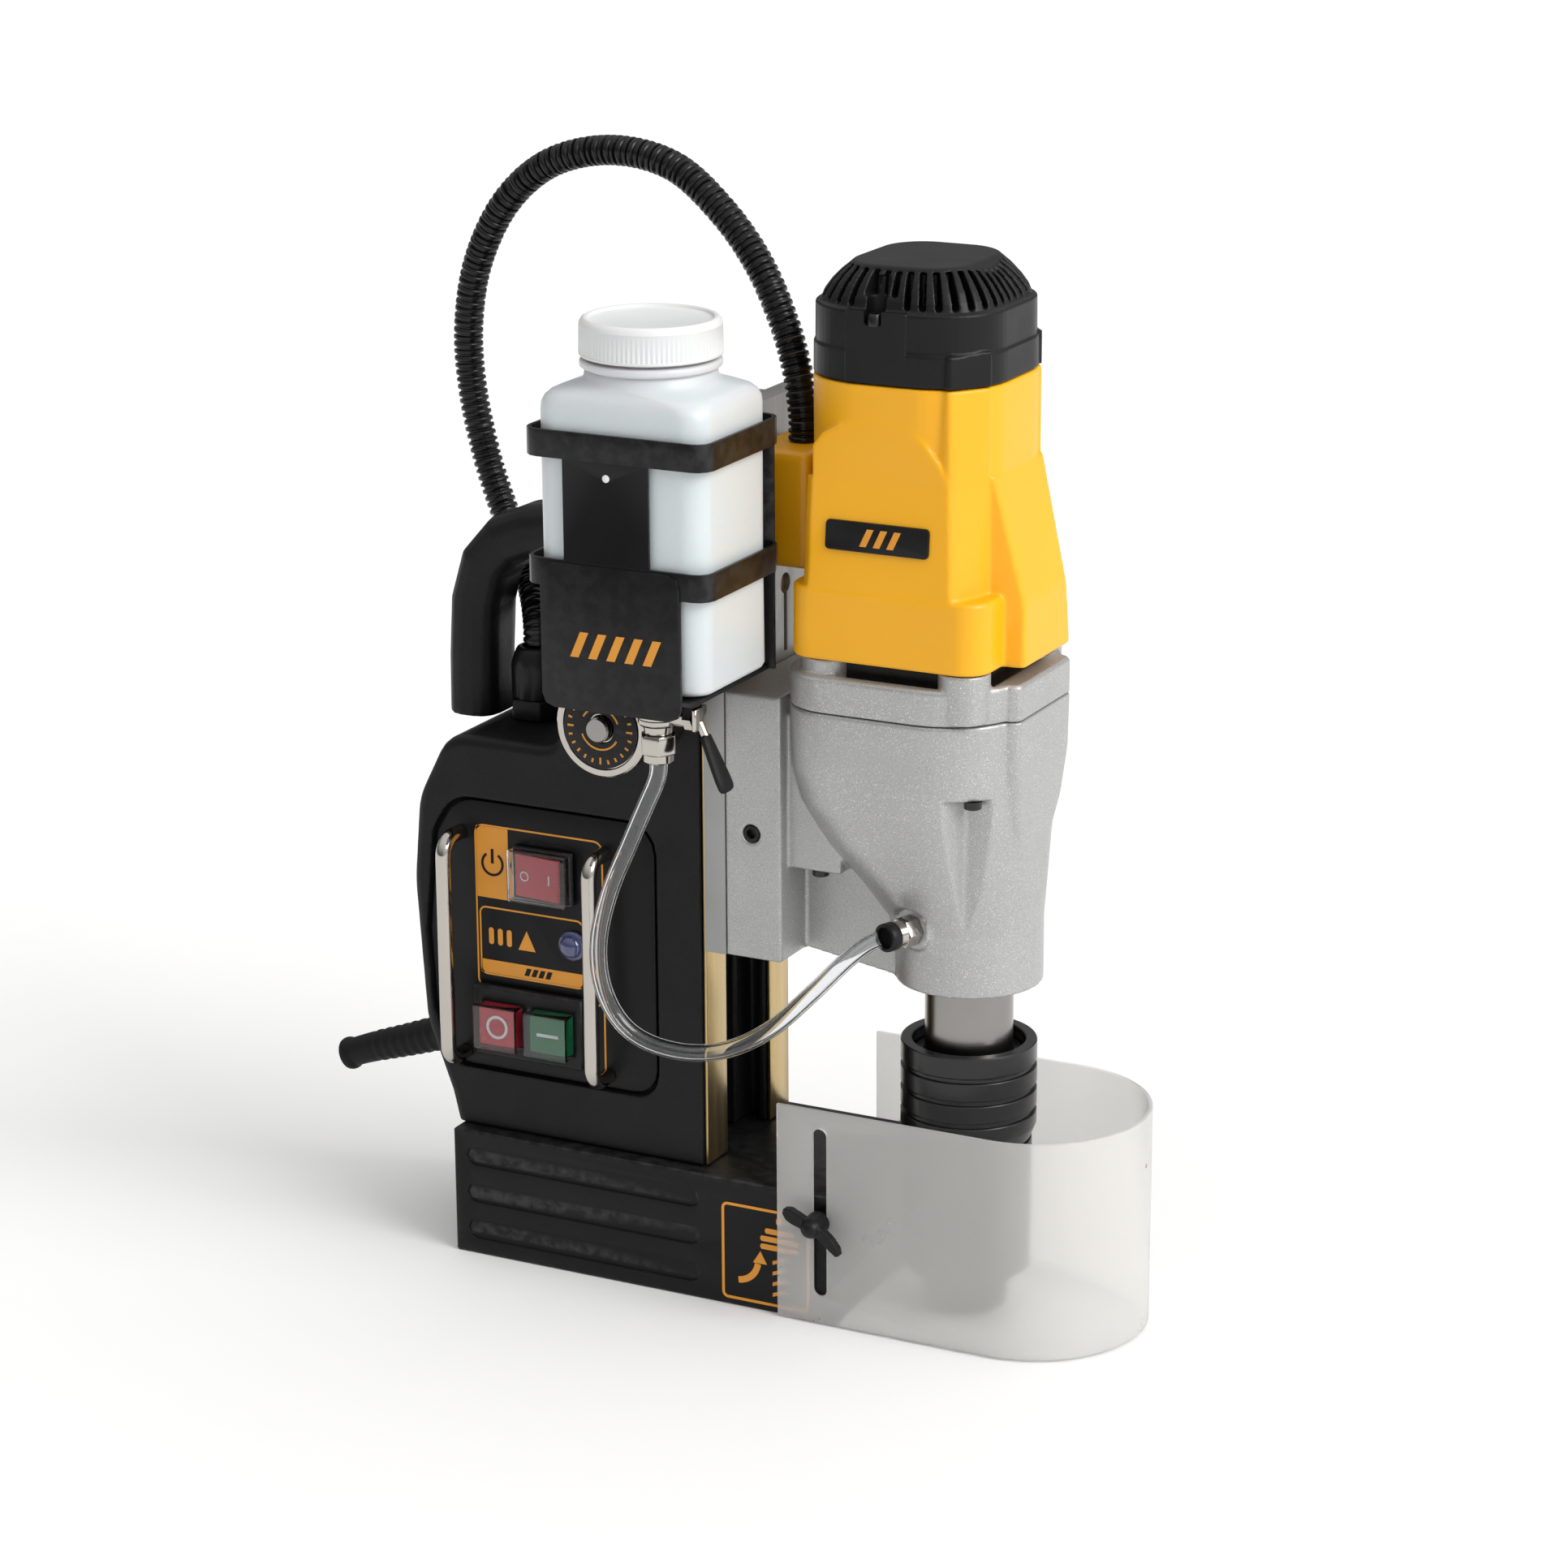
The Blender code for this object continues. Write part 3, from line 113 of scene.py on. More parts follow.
def rod(start, end, radius, segments=48, end_radius=None):
    start, end = Vector(start), Vector(end)
    made = bmesh.new()
    bmesh.ops.create_cone(made, cap_ends=True, segments=segments, radius1=radius,
        radius2=radius if end_radius is None else end_radius, depth=(end - start).length)
    turn = Vector((0, 0, 1)).rotation_difference(end - start).to_matrix()
    bmesh.ops.rotate(made, verts=made.verts, cent=(0, 0, 0), matrix=turn)
    bmesh.ops.translate(made, verts=made.verts, vec=(start + end) / 2)
    return made


def ball(centre, radius, segments=24):
    made = bmesh.new()
    bmesh.ops.create_uvsphere(made, u_segments=segments, v_segments=segments // 2, radius=radius)
    bmesh.ops.translate(made, verts=made.verts, vec=centre)
    return made


def rounded_rect(half_x, half_y, radius, centre=(0.0, 0.0), steps=10):
    points = []
    for quarter, (side_x, side_y) in enumerate(((1, 1), (-1, 1), (-1, -1), (1, -1))):
        for step in range(steps + 1):
            angle = math.pi / 2 * (quarter + step / steps)
            x = centre[0] + side_x * (half_x - radius) + radius * math.cos(angle)
            y = centre[1] + side_y * (half_y - radius) + radius * math.sin(angle)
            points.append((x, y))
    return points


def circle(radius, centre=(0.0, 0.0), count=48, phase=0.0):
    return [(centre[0] + radius * math.cos(phase + math.tau * k / count),
        centre[1] + radius * math.sin(phase + math.tau * k / count)) for k in range(count)]


def level_ring(radius, z, centre, count):
    return [(x, y, z) for x, y in circle(radius, centre, count)]


def lifted(point, height, axis):
    """A point (u, v) of an outline, at a height along the axis."""
    u, v = point
    return {"Z": (u, v, height), "Y": (u, height, v), "X": (height, u, v)}[axis]


def prism(outline, low, high, axis="Z"):
    return skin([[lifted(point, height, axis) for point in outline] for height in (low, high)])


def lathe(profile, centre, segments=72, axis="Z", loop=False):
    """Turns a profile of (radius, height) about an axis through the centre (u, v)."""
    return skin([[lifted(point, height, axis) for point in circle(max(radius, 0.001), centre,
        segments)] for radius, height in profile], loop)


def stacked(sections, steps=10):
    """Rings from sections (z, centre x, half x, half y, corner radius)."""
    return [[(x, y, z) for x, y in rounded_rect(half_x, half_y, radius, (centre, 0.0), steps)] for z,
        centre, half_x, half_y, radius in sections]


def temporary(made):
    bmesh.ops.recalc_face_normals(made, faces=made.faces)
    mesh = bpy.data.meshes.new("temporary")
    made.to_mesh(mesh)
    made.free()
    item = bpy.data.objects.new("temporary", mesh)
    SCENE.collection.objects.link(item)
    return item


def settled(item, *others):
    """The bmesh of an object with its modifiers applied. The objects are removed."""
    bpy.context.view_layer.update()
    graph = bpy.context.evaluated_depsgraph_get()
    mesh = bpy.data.meshes.new_from_object(item.evaluated_get(graph))
    made = bmesh.new()
    made.from_mesh(mesh)
    bpy.data.meshes.remove(mesh)
    for used in (item, *others):
        old = used.data
        bpy.data.objects.remove(used)
        bpy.data.meshes.remove(old)
    return made


def combined(base, others, operation):
    target = temporary(base)
    tools = [temporary(other) for other in others]
    for tool in tools:
        modifier = target.modifiers.new("combine", "BOOLEAN")
        modifier.object = tool
        modifier.operation = operation
        modifier.solver = "EXACT"
    return settled(target, *tools)


def cut(base, *others):
    return combined(base, others, "DIFFERENCE")


def joined(base, *others):
    return combined(base, others, "UNION")


def moulded(made, voxel, rounds, ratio=1.0):
    """An even mesh of the shape, with its edges smoothed round as on a casting or moulding."""
    item = temporary(made)
    remesh = item.modifiers.new("remesh", "REMESH")
    remesh.mode = "VOXEL"
    remesh.voxel_size = voxel
    smooth = item.modifiers.new("smooth", "SMOOTH")
    smooth.factor = 0.5
    smooth.iterations = rounds
    if ratio < 1.0:
        fewer = item.modifiers.new("fewer", "DECIMATE")
        fewer.ratio = ratio
    return settled(item)


def bevelled(made, width, segments=2, angle=28.0):
    bmesh.ops.dissolve_limit(made, angle_limit=math.radians(0.6), verts=made.verts, edges=made.edges)
    item = temporary(made)
    modifier = item.modifiers.new("bevel", "BEVEL")
    modifier.width = width
    modifier.segments = segments
    modifier.limit_method = "ANGLE"
    modifier.angle_limit = math.radians(angle)
    modifier.use_clamp_overlap = True
    return settled(item)


def from_cad(node):
    """The CAD node's shape as a new bmesh in millimetres."""
    made = bmesh.new()
    made.from_mesh(NODES[node].data)
    bmesh.ops.scale(made, verts=made.verts, vec=(1 / MM,) * 3)
    bmesh.ops.remove_doubles(made, verts=made.verts, dist=0.002)
    return made


def together(*shapes):
    """Several closed shapes in one bmesh, left as separate bodies."""
    whole = bmesh.new()
    for shape in shapes:
        bmesh.ops.recalc_face_normals(shape, faces=shape.faces)
        mesh = bpy.data.meshes.new("shape")
        shape.to_mesh(mesh)
        shape.free()
        whole.from_mesh(mesh)
        bpy.data.meshes.remove(mesh)
    return whole


def sweep(points, radii, segments=20):
    """Rings of a round tube along points, carried along without twist."""
    points = [Vector(point) for point in points]
    side = None
    rings = []
    for index, point in enumerate(points):
        along = points[min(index + 1, len(points) - 1)] - points[max(index - 1, 0)]
        along.normalize()
        if side is None:
            side = along.orthogonal().normalized()
        side = (side - along * side.dot(along)).normalized()
        other = along.cross(side)
        rings.append([point + side * radii[index] * math.cos(a) + other * radii[index] * math.sin(a)
            for a in (math.tau * k / segments for k in range(segments))])
    return rings


def smooth_route(route, spacing):
    """Evenly spaced points on a smooth curve through the route's points."""
    knots = [Vector(point) for point in route]
    knots = [2 * knots[0] - knots[1], *knots, 2 * knots[-1] - knots[-2]]
    fine = []
    for before, start, end, after in zip(knots, knots[1:], knots[2:], knots[3:]):
        for step in range(40):
            t = step / 40
            fine.append(0.5 * (2 * start + (end - before) * t + (2 * before - 5 * start
                + 4 * end - after) * t**2 + (3 * start - before - 3 * end + after) * t**3))
    fine.append(knots[-2])
    total = sum((b - a).length for a, b in zip(fine, fine[1:]))
    count = max(2, round(total / spacing))
    points = [fine[0]]
    travelled = 0.0
    for a, b in zip(fine, fine[1:]):
        length = (b - a).length
        while len(points) < count and travelled + length >= total * len(points) / count:
            points.append(a.lerp(b, (total * len(points) / count - travelled) / length))
        travelled += length
    return [*points, fine[-1]], total


# Materials


class Surface:
    """A material whose colour, roughness and relief come from procedural nodes."""

    def __init__(self, name, colour, roughness, metallic=0.0):
        self.name = name
        self.material = bpy.data.materials.new(name)
        self.material.use_nodes = True
        self.tree = self.material.node_tree
        self.shader = self.tree.nodes["Principled BSDF"]
        self.place = self.tree.nodes.new("ShaderNodeTexCoord").outputs["Object"]
        self.colour = colour
        self.put("Metallic", metallic)
        self.base = self.plain(colour)
        self.rough = self.remap(self.noise(55.0, 3.0), roughness * 0.82, roughness * 1.2)
        self.relief = None

    def put(self, socket, value):
        self.shader.inputs[socket].default_value = value
        return self

    def shine(self, level):
        return self.put("Specular IOR Level", level)

    def clear(self, share, index):
        return self.put("Transmission Weight", share).put("IOR", index)

    def soft(self, share, depth):
        return self.put("Subsurface Weight", share).put("Subsurface Scale", depth)

    def link(self, source, target):
        self.tree.links.new(source, target)

    def noise(self, scale, detail=2.0, stretch=None):
        node = self.tree.nodes.new("ShaderNodeTexNoise")
        node.inputs["Scale"].default_value = scale
        node.inputs["Detail"].default_value = detail
        source = self.place
        if stretch:
            mapping = self.tree.nodes.new("ShaderNodeMapping")
            mapping.inputs["Scale"].default_value = stretch
            self.link(self.place, mapping.inputs["Vector"])
            source = mapping.outputs["Vector"]
        self.link(source, node.inputs["Vector"])
        return node.outputs["Fac"]

    def remap(self, value, low, high, start=0.12, end=0.88):
        node = self.tree.nodes.new("ShaderNodeMapRange")
        node.inputs["From Min"].default_value = start
        node.inputs["From Max"].default_value = end
        node.inputs["To Min"].default_value = low
        node.inputs["To Max"].default_value = high
        self.link(value, node.inputs["Value"])
        return node.outputs["Result"]

    def plain(self, colour):
        node = self.tree.nodes.new("ShaderNodeRGB")
        node.outputs[0].default_value = (*colour, 1.0)
        return node.outputs[0]

    def mix(self, factor, first, second):
        node = self.tree.nodes.new("ShaderNodeMix")
        node.data_type = "RGBA"
        self.link(factor, node.inputs["Factor"])
        self.link(first, node.inputs["A"])
        self.link(second, node.inputs["B"])
        return node.outputs["Result"]

    def mottle(self, share, scale=30.0, detail=3.0, stretch=None):
        """Varies the colour by a share of itself."""
        low = self.plain([channel * (1 - share) for channel in self.colour])
        high = self.plain([min(channel * (1 + share), 1.0) for channel in self.colour])
        factor = self.remap(self.noise(scale, detail, stretch), 0.0, 1.0)
        self.base = self.mix(factor, low, high)
        return self

    def speckle(self, colour, scale, start, end):
        """Fine specks of another colour where the noise is high."""
        factor = self.remap(self.noise(scale, 1.0), 0.0, 1.0, start, end)
        self.base = self.mix(factor, self.base, self.plain(colour))
        return self

    def worn(self, colour, amount=0.5, start=0.53, end=0.6):
        """Another colour on raised edges, broken up by noise."""
        geometry = self.tree.nodes.new("ShaderNodeNewGeometry")
        edge = self.remap(geometry.outputs["Pointiness"], 0.0, amount, start, end)
        broken = self.remap(self.noise(220.0, 4.0), 0.15, 1.0, 0.4, 0.62)
        both = self.tree.nodes.new("ShaderNodeMath")
        both.operation = "MULTIPLY"
        self.link(edge, both.inputs[0])
        self.link(broken, both.inputs[1])
        self.base = self.mix(both.outputs[0], self.base, self.plain(colour))
        return self

    def grain(self, scale, depth, detail=2.0, stretch=None):
        """Relief of a depth in millimetres."""
        node = self.tree.nodes.new("ShaderNodeBump")
        node.inputs["Strength"].default_value = 1.0
        node.inputs["Distance"].default_value = depth * MM
        self.link(self.noise(scale, detail, stretch), node.inputs["Height"])
        if self.relief is not None:
            self.link(self.relief, node.inputs["Normal"])
        self.relief = node.outputs["Normal"]
        return self

    def streaked(self, low, high, scale, stretch):
        """Roughness in streaks, as brushing or turning leaves it."""
        self.rough = self.remap(self.noise(scale, 2.0, stretch), low, high)
        return self

    def done(self):
        self.link(self.base, self.shader.inputs["Base Color"])
        self.link(self.rough, self.shader.inputs["Roughness"])
        if self.relief is not None:
            self.link(self.relief, self.shader.inputs["Normal"])
        return self.material


def make_materials():
    surfaces = (Surface("cast_black", (0.006, 0.006, 0.0065), 0.46).mottle(0.3,
        60.0) .worn((0.05, 0.05, 0.052), 0.45).grain(1300.0, 0.09, 2.0).grain(520.0, 0.07, 1.0).shine(0.22),
        Surface("magnet_black", (0.006, 0.006, 0.0065), 0.36).mottle(0.25, 45.0) .worn((0.07, 0.07, 0.072),
        0.5).grain(700.0, 0.02).grain(60.0, 0.05).shine(0.2),
        Surface("bracket_black", (0.005, 0.005, 0.0055), 0.3).mottle(0.2, 50.0) .worn((0.08, 0.08, 0.08),
        0.4).grain(900.0, 0.012).shine(0.25), Surface("arbor_black", (0.007, 0.007, 0.008),
        0.24).mottle(0.2, 60.0).grain(900.0, 0.006) .shine(0.5),
        Surface("panel_black", (0.005, 0.005, 0.0055), 0.4).mottle(0.2, 40.0).grain(1500.0,
        0.015) .shine(0.2), Surface("black_plastic", (0.006, 0.006, 0.0065), 0.38).mottle(0.2,
        60.0) .worn((0.05, 0.05, 0.052), 0.4).grain(1900.0, 0.02).shine(0.25),
        Surface("black_rubber", (0.008, 0.008, 0.0085), 0.52).mottle(0.2, 70.0).grain(1200.0,
        0.02) .shine(0.2), Surface("conduit_black", (0.006, 0.006, 0.0065), 0.26).mottle(0.2,
        60.0).grain(900.0, 0.01) .shine(0.3), Surface("yellow_plastic", (0.9, 0.43, 0.003),
        0.4).mottle(0.035, 18.0).grain(1500.0, 0.02) .grain(35.0, 0.04).soft(0.06, 0.002),
        Surface("silver_cast", (0.42, 0.42, 0.415), 0.4, 0.55).mottle(0.05,
        25.0) .speckle((0.78, 0.78, 0.78), 2600.0, 0.6, 0.72).speckle((0.3, 0.3, 0.3), 2100.0, 0.62,
        0.74) .grain(1700.0, 0.035).grain(120.0, 0.03), Surface("slide_grey", (0.33, 0.33, 0.325), 0.4,
        0.6).mottle(0.08, 30.0) .streaked(0.3, 0.48, 20.0, (18.0, 18.0, 0.6)).grain(20.0, 0.015, 2.0,
        (30.0, 30.0, 0.8)), Surface("steel", (0.3, 0.29, 0.28), 0.24, 1.0).mottle(0.06, 35.0).grain(600.0,
        0.006), Surface("chrome", (0.5, 0.47, 0.43), 0.12, 1.0).mottle(0.06, 40.0).grain(300.0, 0.004),
        Surface("bronze", (0.58, 0.43, 0.2), 0.3, 1.0).mottle(0.12, 30.0, 3.0,
        (10.0, 10.0, 0.5)) .streaked(0.22, 0.42, 16.0, (20.0, 20.0, 0.4)).grain(16.0, 0.015, 2.0,
        (30.0, 30.0, 0.5)), Surface("copper", (0.6, 0.25, 0.1), 0.3, 1.0).mottle(0.15, 60.0) .grain(30.0,
        0.1, 1.0, (1.0, 1.0, 30.0)), Surface("resin", (0.035, 0.03, 0.026), 0.45).mottle(0.2,
        80.0).grain(150.0, 0.06), Surface("bottle_white", (0.74, 0.755, 0.775), 0.33).mottle(0.02,
        20.0).grain(220.0, 0.02) .soft(0.35, 0.006).put("Transmission Weight", 0.12),
        Surface("cap_white", (0.74, 0.75, 0.755), 0.4).mottle(0.02, 30.0).grain(700.0, 0.015) .soft(0.2,
        0.003), Surface("clear_plastic", (0.93, 0.94, 0.95), 0.04).mottle(0.02, 40.0).grain(200.0,
        0.002) .clear(1.0, 1.42), Surface("frosted_sheet", (0.93, 0.92, 0.9), 0.3).mottle(0.02,
        25.0).grain(900.0, 0.006) .clear(0.7, 1.1).shine(0.2),
        Surface("red_plastic", (0.5, 0.015, 0.03), 0.25).mottle(0.08, 60.0).grain(900.0, 0.01),
        Surface("green_plastic", (0.0, 0.16, 0.05), 0.25).mottle(0.08, 60.0).grain(900.0, 0.01),
        Surface("lamp_lens", (0.05, 0.06, 0.16), 0.08).mottle(0.2, 200.0).grain(600.0,
        0.01) .put("Coat Weight", 1.0), Surface("circuit_green", (0.02, 0.14, 0.05), 0.45).mottle(0.2,
        200.0).grain(500.0, 0.05), Surface("print_orange", (0.72, 0.29, 0.02), 0.42).mottle(0.05,
        60.0).grain(1500.0, 0.01), Surface("print_white", (0.8, 0.8, 0.8), 0.4).mottle(0.04,
        60.0).grain(1500.0, 0.01))
    return {surface.name: surface.done() for surface in surfaces}


MATERIALS = make_materials()


def piece(name, made, slot, body, replaced=(), angle=38.0, material=None):
    """Turns a bmesh in millimetres into a piece of the object that rides on a body."""
    bmesh.ops.recalc_face_normals(made, faces=made.faces)
    bmesh.ops.scale(made, verts=made.verts, vec=(MM, MM, MM))
    mesh = bpy.data.meshes.new(name)
    made.to_mesh(mesh)
    made.free()
    mesh.materials.append(MATERIALS[material or slot])
    mesh.shade_smooth()
    mesh.set_sharp_from_angle(angle=math.radians(angle))
    item = bpy.data.objects.new(name, mesh)
    SCENE.collection.objects.link(item)
    if body:
        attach(item, body)
    if replaced:
        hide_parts(*replaced)
    return item


# Cords

CONDUIT_ROUTE = ((-65.5, 1.0, 240.6), (-65.6, 1.4, 243.6), (-67.6, 4.6, 248.6), (-72.6, 11.6, 254.6),
    (-79.4, 19.2, 261.8), (-88.2, 24.8, 274.0), (-96.0, 27.8, 287.5), (-103.7, 29.5, 307.0),
    (-109.6, 30.5, 332.0), (-110.6, 30.5, 357.0), (-105.0, 30.0, 383.0), (-91.0, 29.0, 407.0),
    (-69.8, 27.0, 423.4), (-41.6, 24.0, 430.3), (-13.4, 20.0, 426.6), (9.5, 15.0, 412.2),
    (27.2, 10.0, 394.6), (39.8, 5.5, 374.5), (47.0, 2.2, 357.0), (50.2, 0.4, 342.0), (50.5, 0.0, 336.5),
    (50.5, 0.0, 332.4))
TUBE_ROUTE = ((29.8, -77.5, 226.0), (29.6, -77.5, 222.0), (28.0, -77.6, 217.0), (25.0, -77.8, 210.5),
    (17.3, -78.0, 193.3), (8.3, -77.5, 173.0), (2.8, -76.5, 152.8), (3.3, -75.0, 135.0),
    (9.6, -72.8, 121.0), (20.0, -70.0, 113.4), (35.3, -66.5, 110.8), (50.4, -62.7, 113.6),
    (65.3, -58.5, 122.4), (79.6, -53.5, 136.7), (91.0, -48.7, 149.5), (98.0, -44.9, 156.0),
    (101.9, -42.4, 158.0))
CONDUIT_RADIUS, CONDUIT_ROOT, RIB_PITCH = 5.8, 4.75, 2.75
TUBE_RADIUS, TUBE_BORE = 3.3, 2.2


def refined(name, node, slot, body, *bevel):
    """The node's own solid with its edges rounded."""
    piece(name, bevelled(from_cad(node), *bevel), slot, body, (node,))


def make_conduit():
    centre_line, length = smooth_route(CONDUIT_ROUTE, 0.5)
    ribs = int(length / RIB_PITCH)
    share = len(centre_line) / (ribs * RIB_PITCH)
    points, radii = [], []
    for rib in range(ribs):
        for offset, radius in ((0.0, CONDUIT_ROOT), (0.7, CONDUIT_ROOT), (1.05, CONDUIT_RADIUS - 0.15),
                               (1.4, CONDUIT_RADIUS), (2.0, CONDUIT_RADIUS), (2.4, CONDUIT_RADIUS - 0.15)):
            at = min(int((rib * RIB_PITCH + offset) * share), len(centre_line) - 2)
            points.append(centre_line[at])
            radii.append(radius)
    points.append(centre_line[-1])
    radii.append(CONDUIT_ROOT)
    conduit = piece("ribbed_conduit", skin(sweep(points, radii, 18)), "conduit_black", None,
        ("power_conduit",), 50.0)
    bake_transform(conduit)


def make_tube():
    centre_line, length = smooth_route(TUBE_ROUTE, 2.5)
    outer = sweep(centre_line, [TUBE_RADIUS] * len(centre_line), 24)
    inner = sweep(centre_line, [TUBE_BORE] * len(centre_line), 24)
    tube = piece("clear_coolant_tube", skin(outer + inner[::-1], loop=True), "clear_plastic", None,
        ("coolant_tube",))
    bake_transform(tube)


make_conduit()
make_tube()

# Flat prints: thin raised shapes on a face that looks towards -Y


PRINT = 0.15


def print_frame(outer, inner, face):
    """A thin ring between two outlines (x, z) of equal point counts, in front of y = face."""
    rings = [[(x, y, z) for x, z in ring] for ring, y in ((outer, face + 0.02), (outer, face - PRINT),
        (inner, face - PRINT), (inner, face + 0.02))]
    return skin(rings, loop=True)


def orange(name, shapes, body="frame"):
    piece(name, together(*shapes), "yellow_plastic", body, material="print_orange")


def print_shape(outline, face):
    return prism(outline, face + 0.02, face - PRINT, "Y")


def rect(x0, x1, z0, z1):
    return [(x0, z0), (x1, z0), (x1, z1), (x0, z1)]


def framed(x0, x1, z0, z1, radius, width):
    centre = ((x0 + x1) / 2, (z0 + z1) / 2)
    half_x, half_z = (x1 - x0) / 2, (z1 - z0) / 2
    return (rounded_rect(half_x, half_z, radius, centre, 6),
        rounded_rect(half_x - width, half_z - width, radius - width, centre, 6))


def arc_band(centre, inner, outer, start, end, steps=24):
    """Outline of part of a ring between two angles in degrees."""
    angles = [math.radians(start + (end - start) * step / steps) for step in range(steps + 1)]
    far = [(centre[0] + outer * math.cos(a), centre[1] + outer * math.sin(a)) for a in angles]
    near = [(centre[0] + inner * math.cos(a), centre[1] + inner * math.sin(a)) for a in angles]
    return far + near[::-1]


# Magnet foot


BASE_FACE = -42.0


def make_foot():
    refined("magnet_foot", "magnet_body", "magnet_black", "frame", 0.5, 2, 40)
    low, high = 2.8, 42.4
    ground = print_shape(rounded_rect(18.6, 19.6, 2.4, (54.0, 22.6), 6), BASE_FACE)
    piece("foot_label_ground", ground, "panel_black", "frame")
    face = BASE_FACE - PRINT
    marks = [print_frame(*framed(35.2, 72.8, low, high, 2.6, 1.1), face)]
    for level, half in ((33.5, 6.2), (30.2, 8.2), (26.9, 8.2)):
        marks.append(print_shape(rounded_rect(half, 1.1, 0.9, (60.0, level), 4), face))
    for level in (20.0, 15.6, 11.2, 6.8):
        marks.append(print_shape([(57.0, level), (63.0, level + 2.4), (63.0, level + 3.9),
            (57.0, level + 1.5)], face))
    marks.append(print_shape([(58.6, 37.0), (61.4, 37.0), (61.4, 38.8), (60.0, 40.8), (58.6, 38.8)], face))
    marks.append(print_shape(arc_band((41.5, 20.5), 8.0, 10.6, -85, -8, 16), face))
    marks.append(print_shape([(48.6, 19.5), (54.6, 19.5), (51.8, 24.6)], face))
    orange("foot_label_print", marks)


# Column and handle


def make_column():
    piece("column_body", moulded(from_cad("column_casting"), 0.8, 5, 0.45), "cast_black", "frame",
        ("column_casting",), 60.0)
    piece("handle_body", moulded(from_cad("carry_handle"), 0.8, 6, 0.6), "cast_black", "frame",
        ("carry_handle",), 60.0)
    for node in ("way_strip_near", "way_strip_far"):
        piece(node + "_ground", bevelled(from_cad(node), 0.25), "bronze", "frame", (node,))


# Control panel


PANEL_FACE = -34.5


def make_panel():
    refined("panel_plate", "control_panel", "panel_black", "frame", 0.35, 2, 40)
    face = PANEL_FACE
    marks = [print_frame(*framed(-75.0, -18.4, 109.6, 176.6, 4.0, 0.7), face),
        print_shape(rect(-74.2, -60.2, 147.0, 175.8), face),
        print_frame(*framed(-73.6, -27.4, 115.4, 143.4, 3.0, 0.7), face),
        print_shape(rect(-73.2, -27.8, 116.2, 121.6), face),
        print_shape(rect(-19.1, -18.4, 83.0, 113.0), face)]
    orange("panel_print", marks)
    face -= PRINT
    dark = [print_shape(arc_band((-67.2, 161.0), 4.0, 5.0, 125, 415, 30), face),
        print_shape(rect(-67.8, -66.6, 161.2, 167.0), face)]
    for index in range(4):
        x = -54.0 + 3.1 * index
        dark.append(print_shape([(x, 117.4), (x + 2.0, 117.4), (x + 3.2, 120.4), (x + 1.2, 120.4)], face))
    piece("panel_symbols", together(*dark), "panel_black", "frame")
    bars = [print_shape(rounded_rect(1.1, 3.4, 1.0, (-68.5 + 4.0 * k, 131.5), 4),
        PANEL_FACE) for k in range(3)]
    bars.append(print_shape([(-56.5, 127.6), (-48.9, 127.6), (-52.7, 135.6)], PANEL_FACE))
    orange("panel_load_marks", bars)
    make_guard_bars()
    make_switches()


def make_guard_bars():
    """Two bars with round bends, each standing on two feet."""
    foot = PANEL_FACE - 0.3
    middle, height, lift, bend = 127.0, 90.0, 12.7, 7.0
    for node, x in (("guard_bar_rear", -81.5), ("guard_bar_front", -17.5)):
        upper = [(x, foot, middle + height / 2)]
        for step in range(17):
            angle = math.pi / 2 * step / 16
            upper.append((x, foot - lift + bend * (1 - math.sin(angle)),
                middle + height / 2 - bend * (1 - math.cos(angle))))
        points = upper + [(px, py, 2 * middle - pz) for px, py, pz in reversed(upper)]
        piece(node + "_plated", skin(sweep(points, [3.0] * len(points), 28)), "chrome", "frame", (node,),
            50.0)


ROCKER_CENTRE = (-44.0, 159.7)
BUTTONS = (("stop_button", "stop", -62.3, "red_plastic"), ("start_button", "start", -39.8, "green_plastic"))
BUTTON_Z = 97.2


def make_rocker_key():
    """A two-faced key that fills the clear hood, tipped about its pivot."""
    x, z = ROCKER_CENTRE
    rings = [[(x + u, y, z + v) for u, v in ((-wide, -high), (0.0, -high), (wide, -high), (wide, high),
        (0.0, high), (-wide, high))] for y, wide, high in ((-35.2, 8.2, 5.6), (-37.7, 8.2, 5.6),
        (-38.2, 10.0, 8.4), (-39.3, 10.0, 8.4))]
    rings.append([(x + u, y, z + v) for u, y, v in ((-9.6, -39.8, -8.1), (0.0, -39.2, -8.1),
        (9.6, -39.8, -8.1), (9.6, -39.8, 8.1), (0.0, -39.2, 8.1), (-9.6, -39.8, 8.1))])
    key = bevelled(skin(rings), 0.3, 2, 8)
    marks = together(print_frame(circle(2.0, (x - 5.6, z), 32), circle(1.5, (x - 5.6, z), 32), -39.64),
        print_shape(rect(x + 5.4, x + 6.0, z - 1.9, z + 1.9), -39.56))
    for shape in (key, marks):
        turn = Matrix.Rotation(math.radians(-6.0), 3, "Z")
        bmesh.ops.rotate(shape, verts=shape.verts, cent=(x, -33.0, z), matrix=turn)
    piece("rocker_key", key, "red_plastic", "rocker", ("power_rocker",))
    piece("rocker_marks", marks, "red_plastic", "rocker", material="print_white")


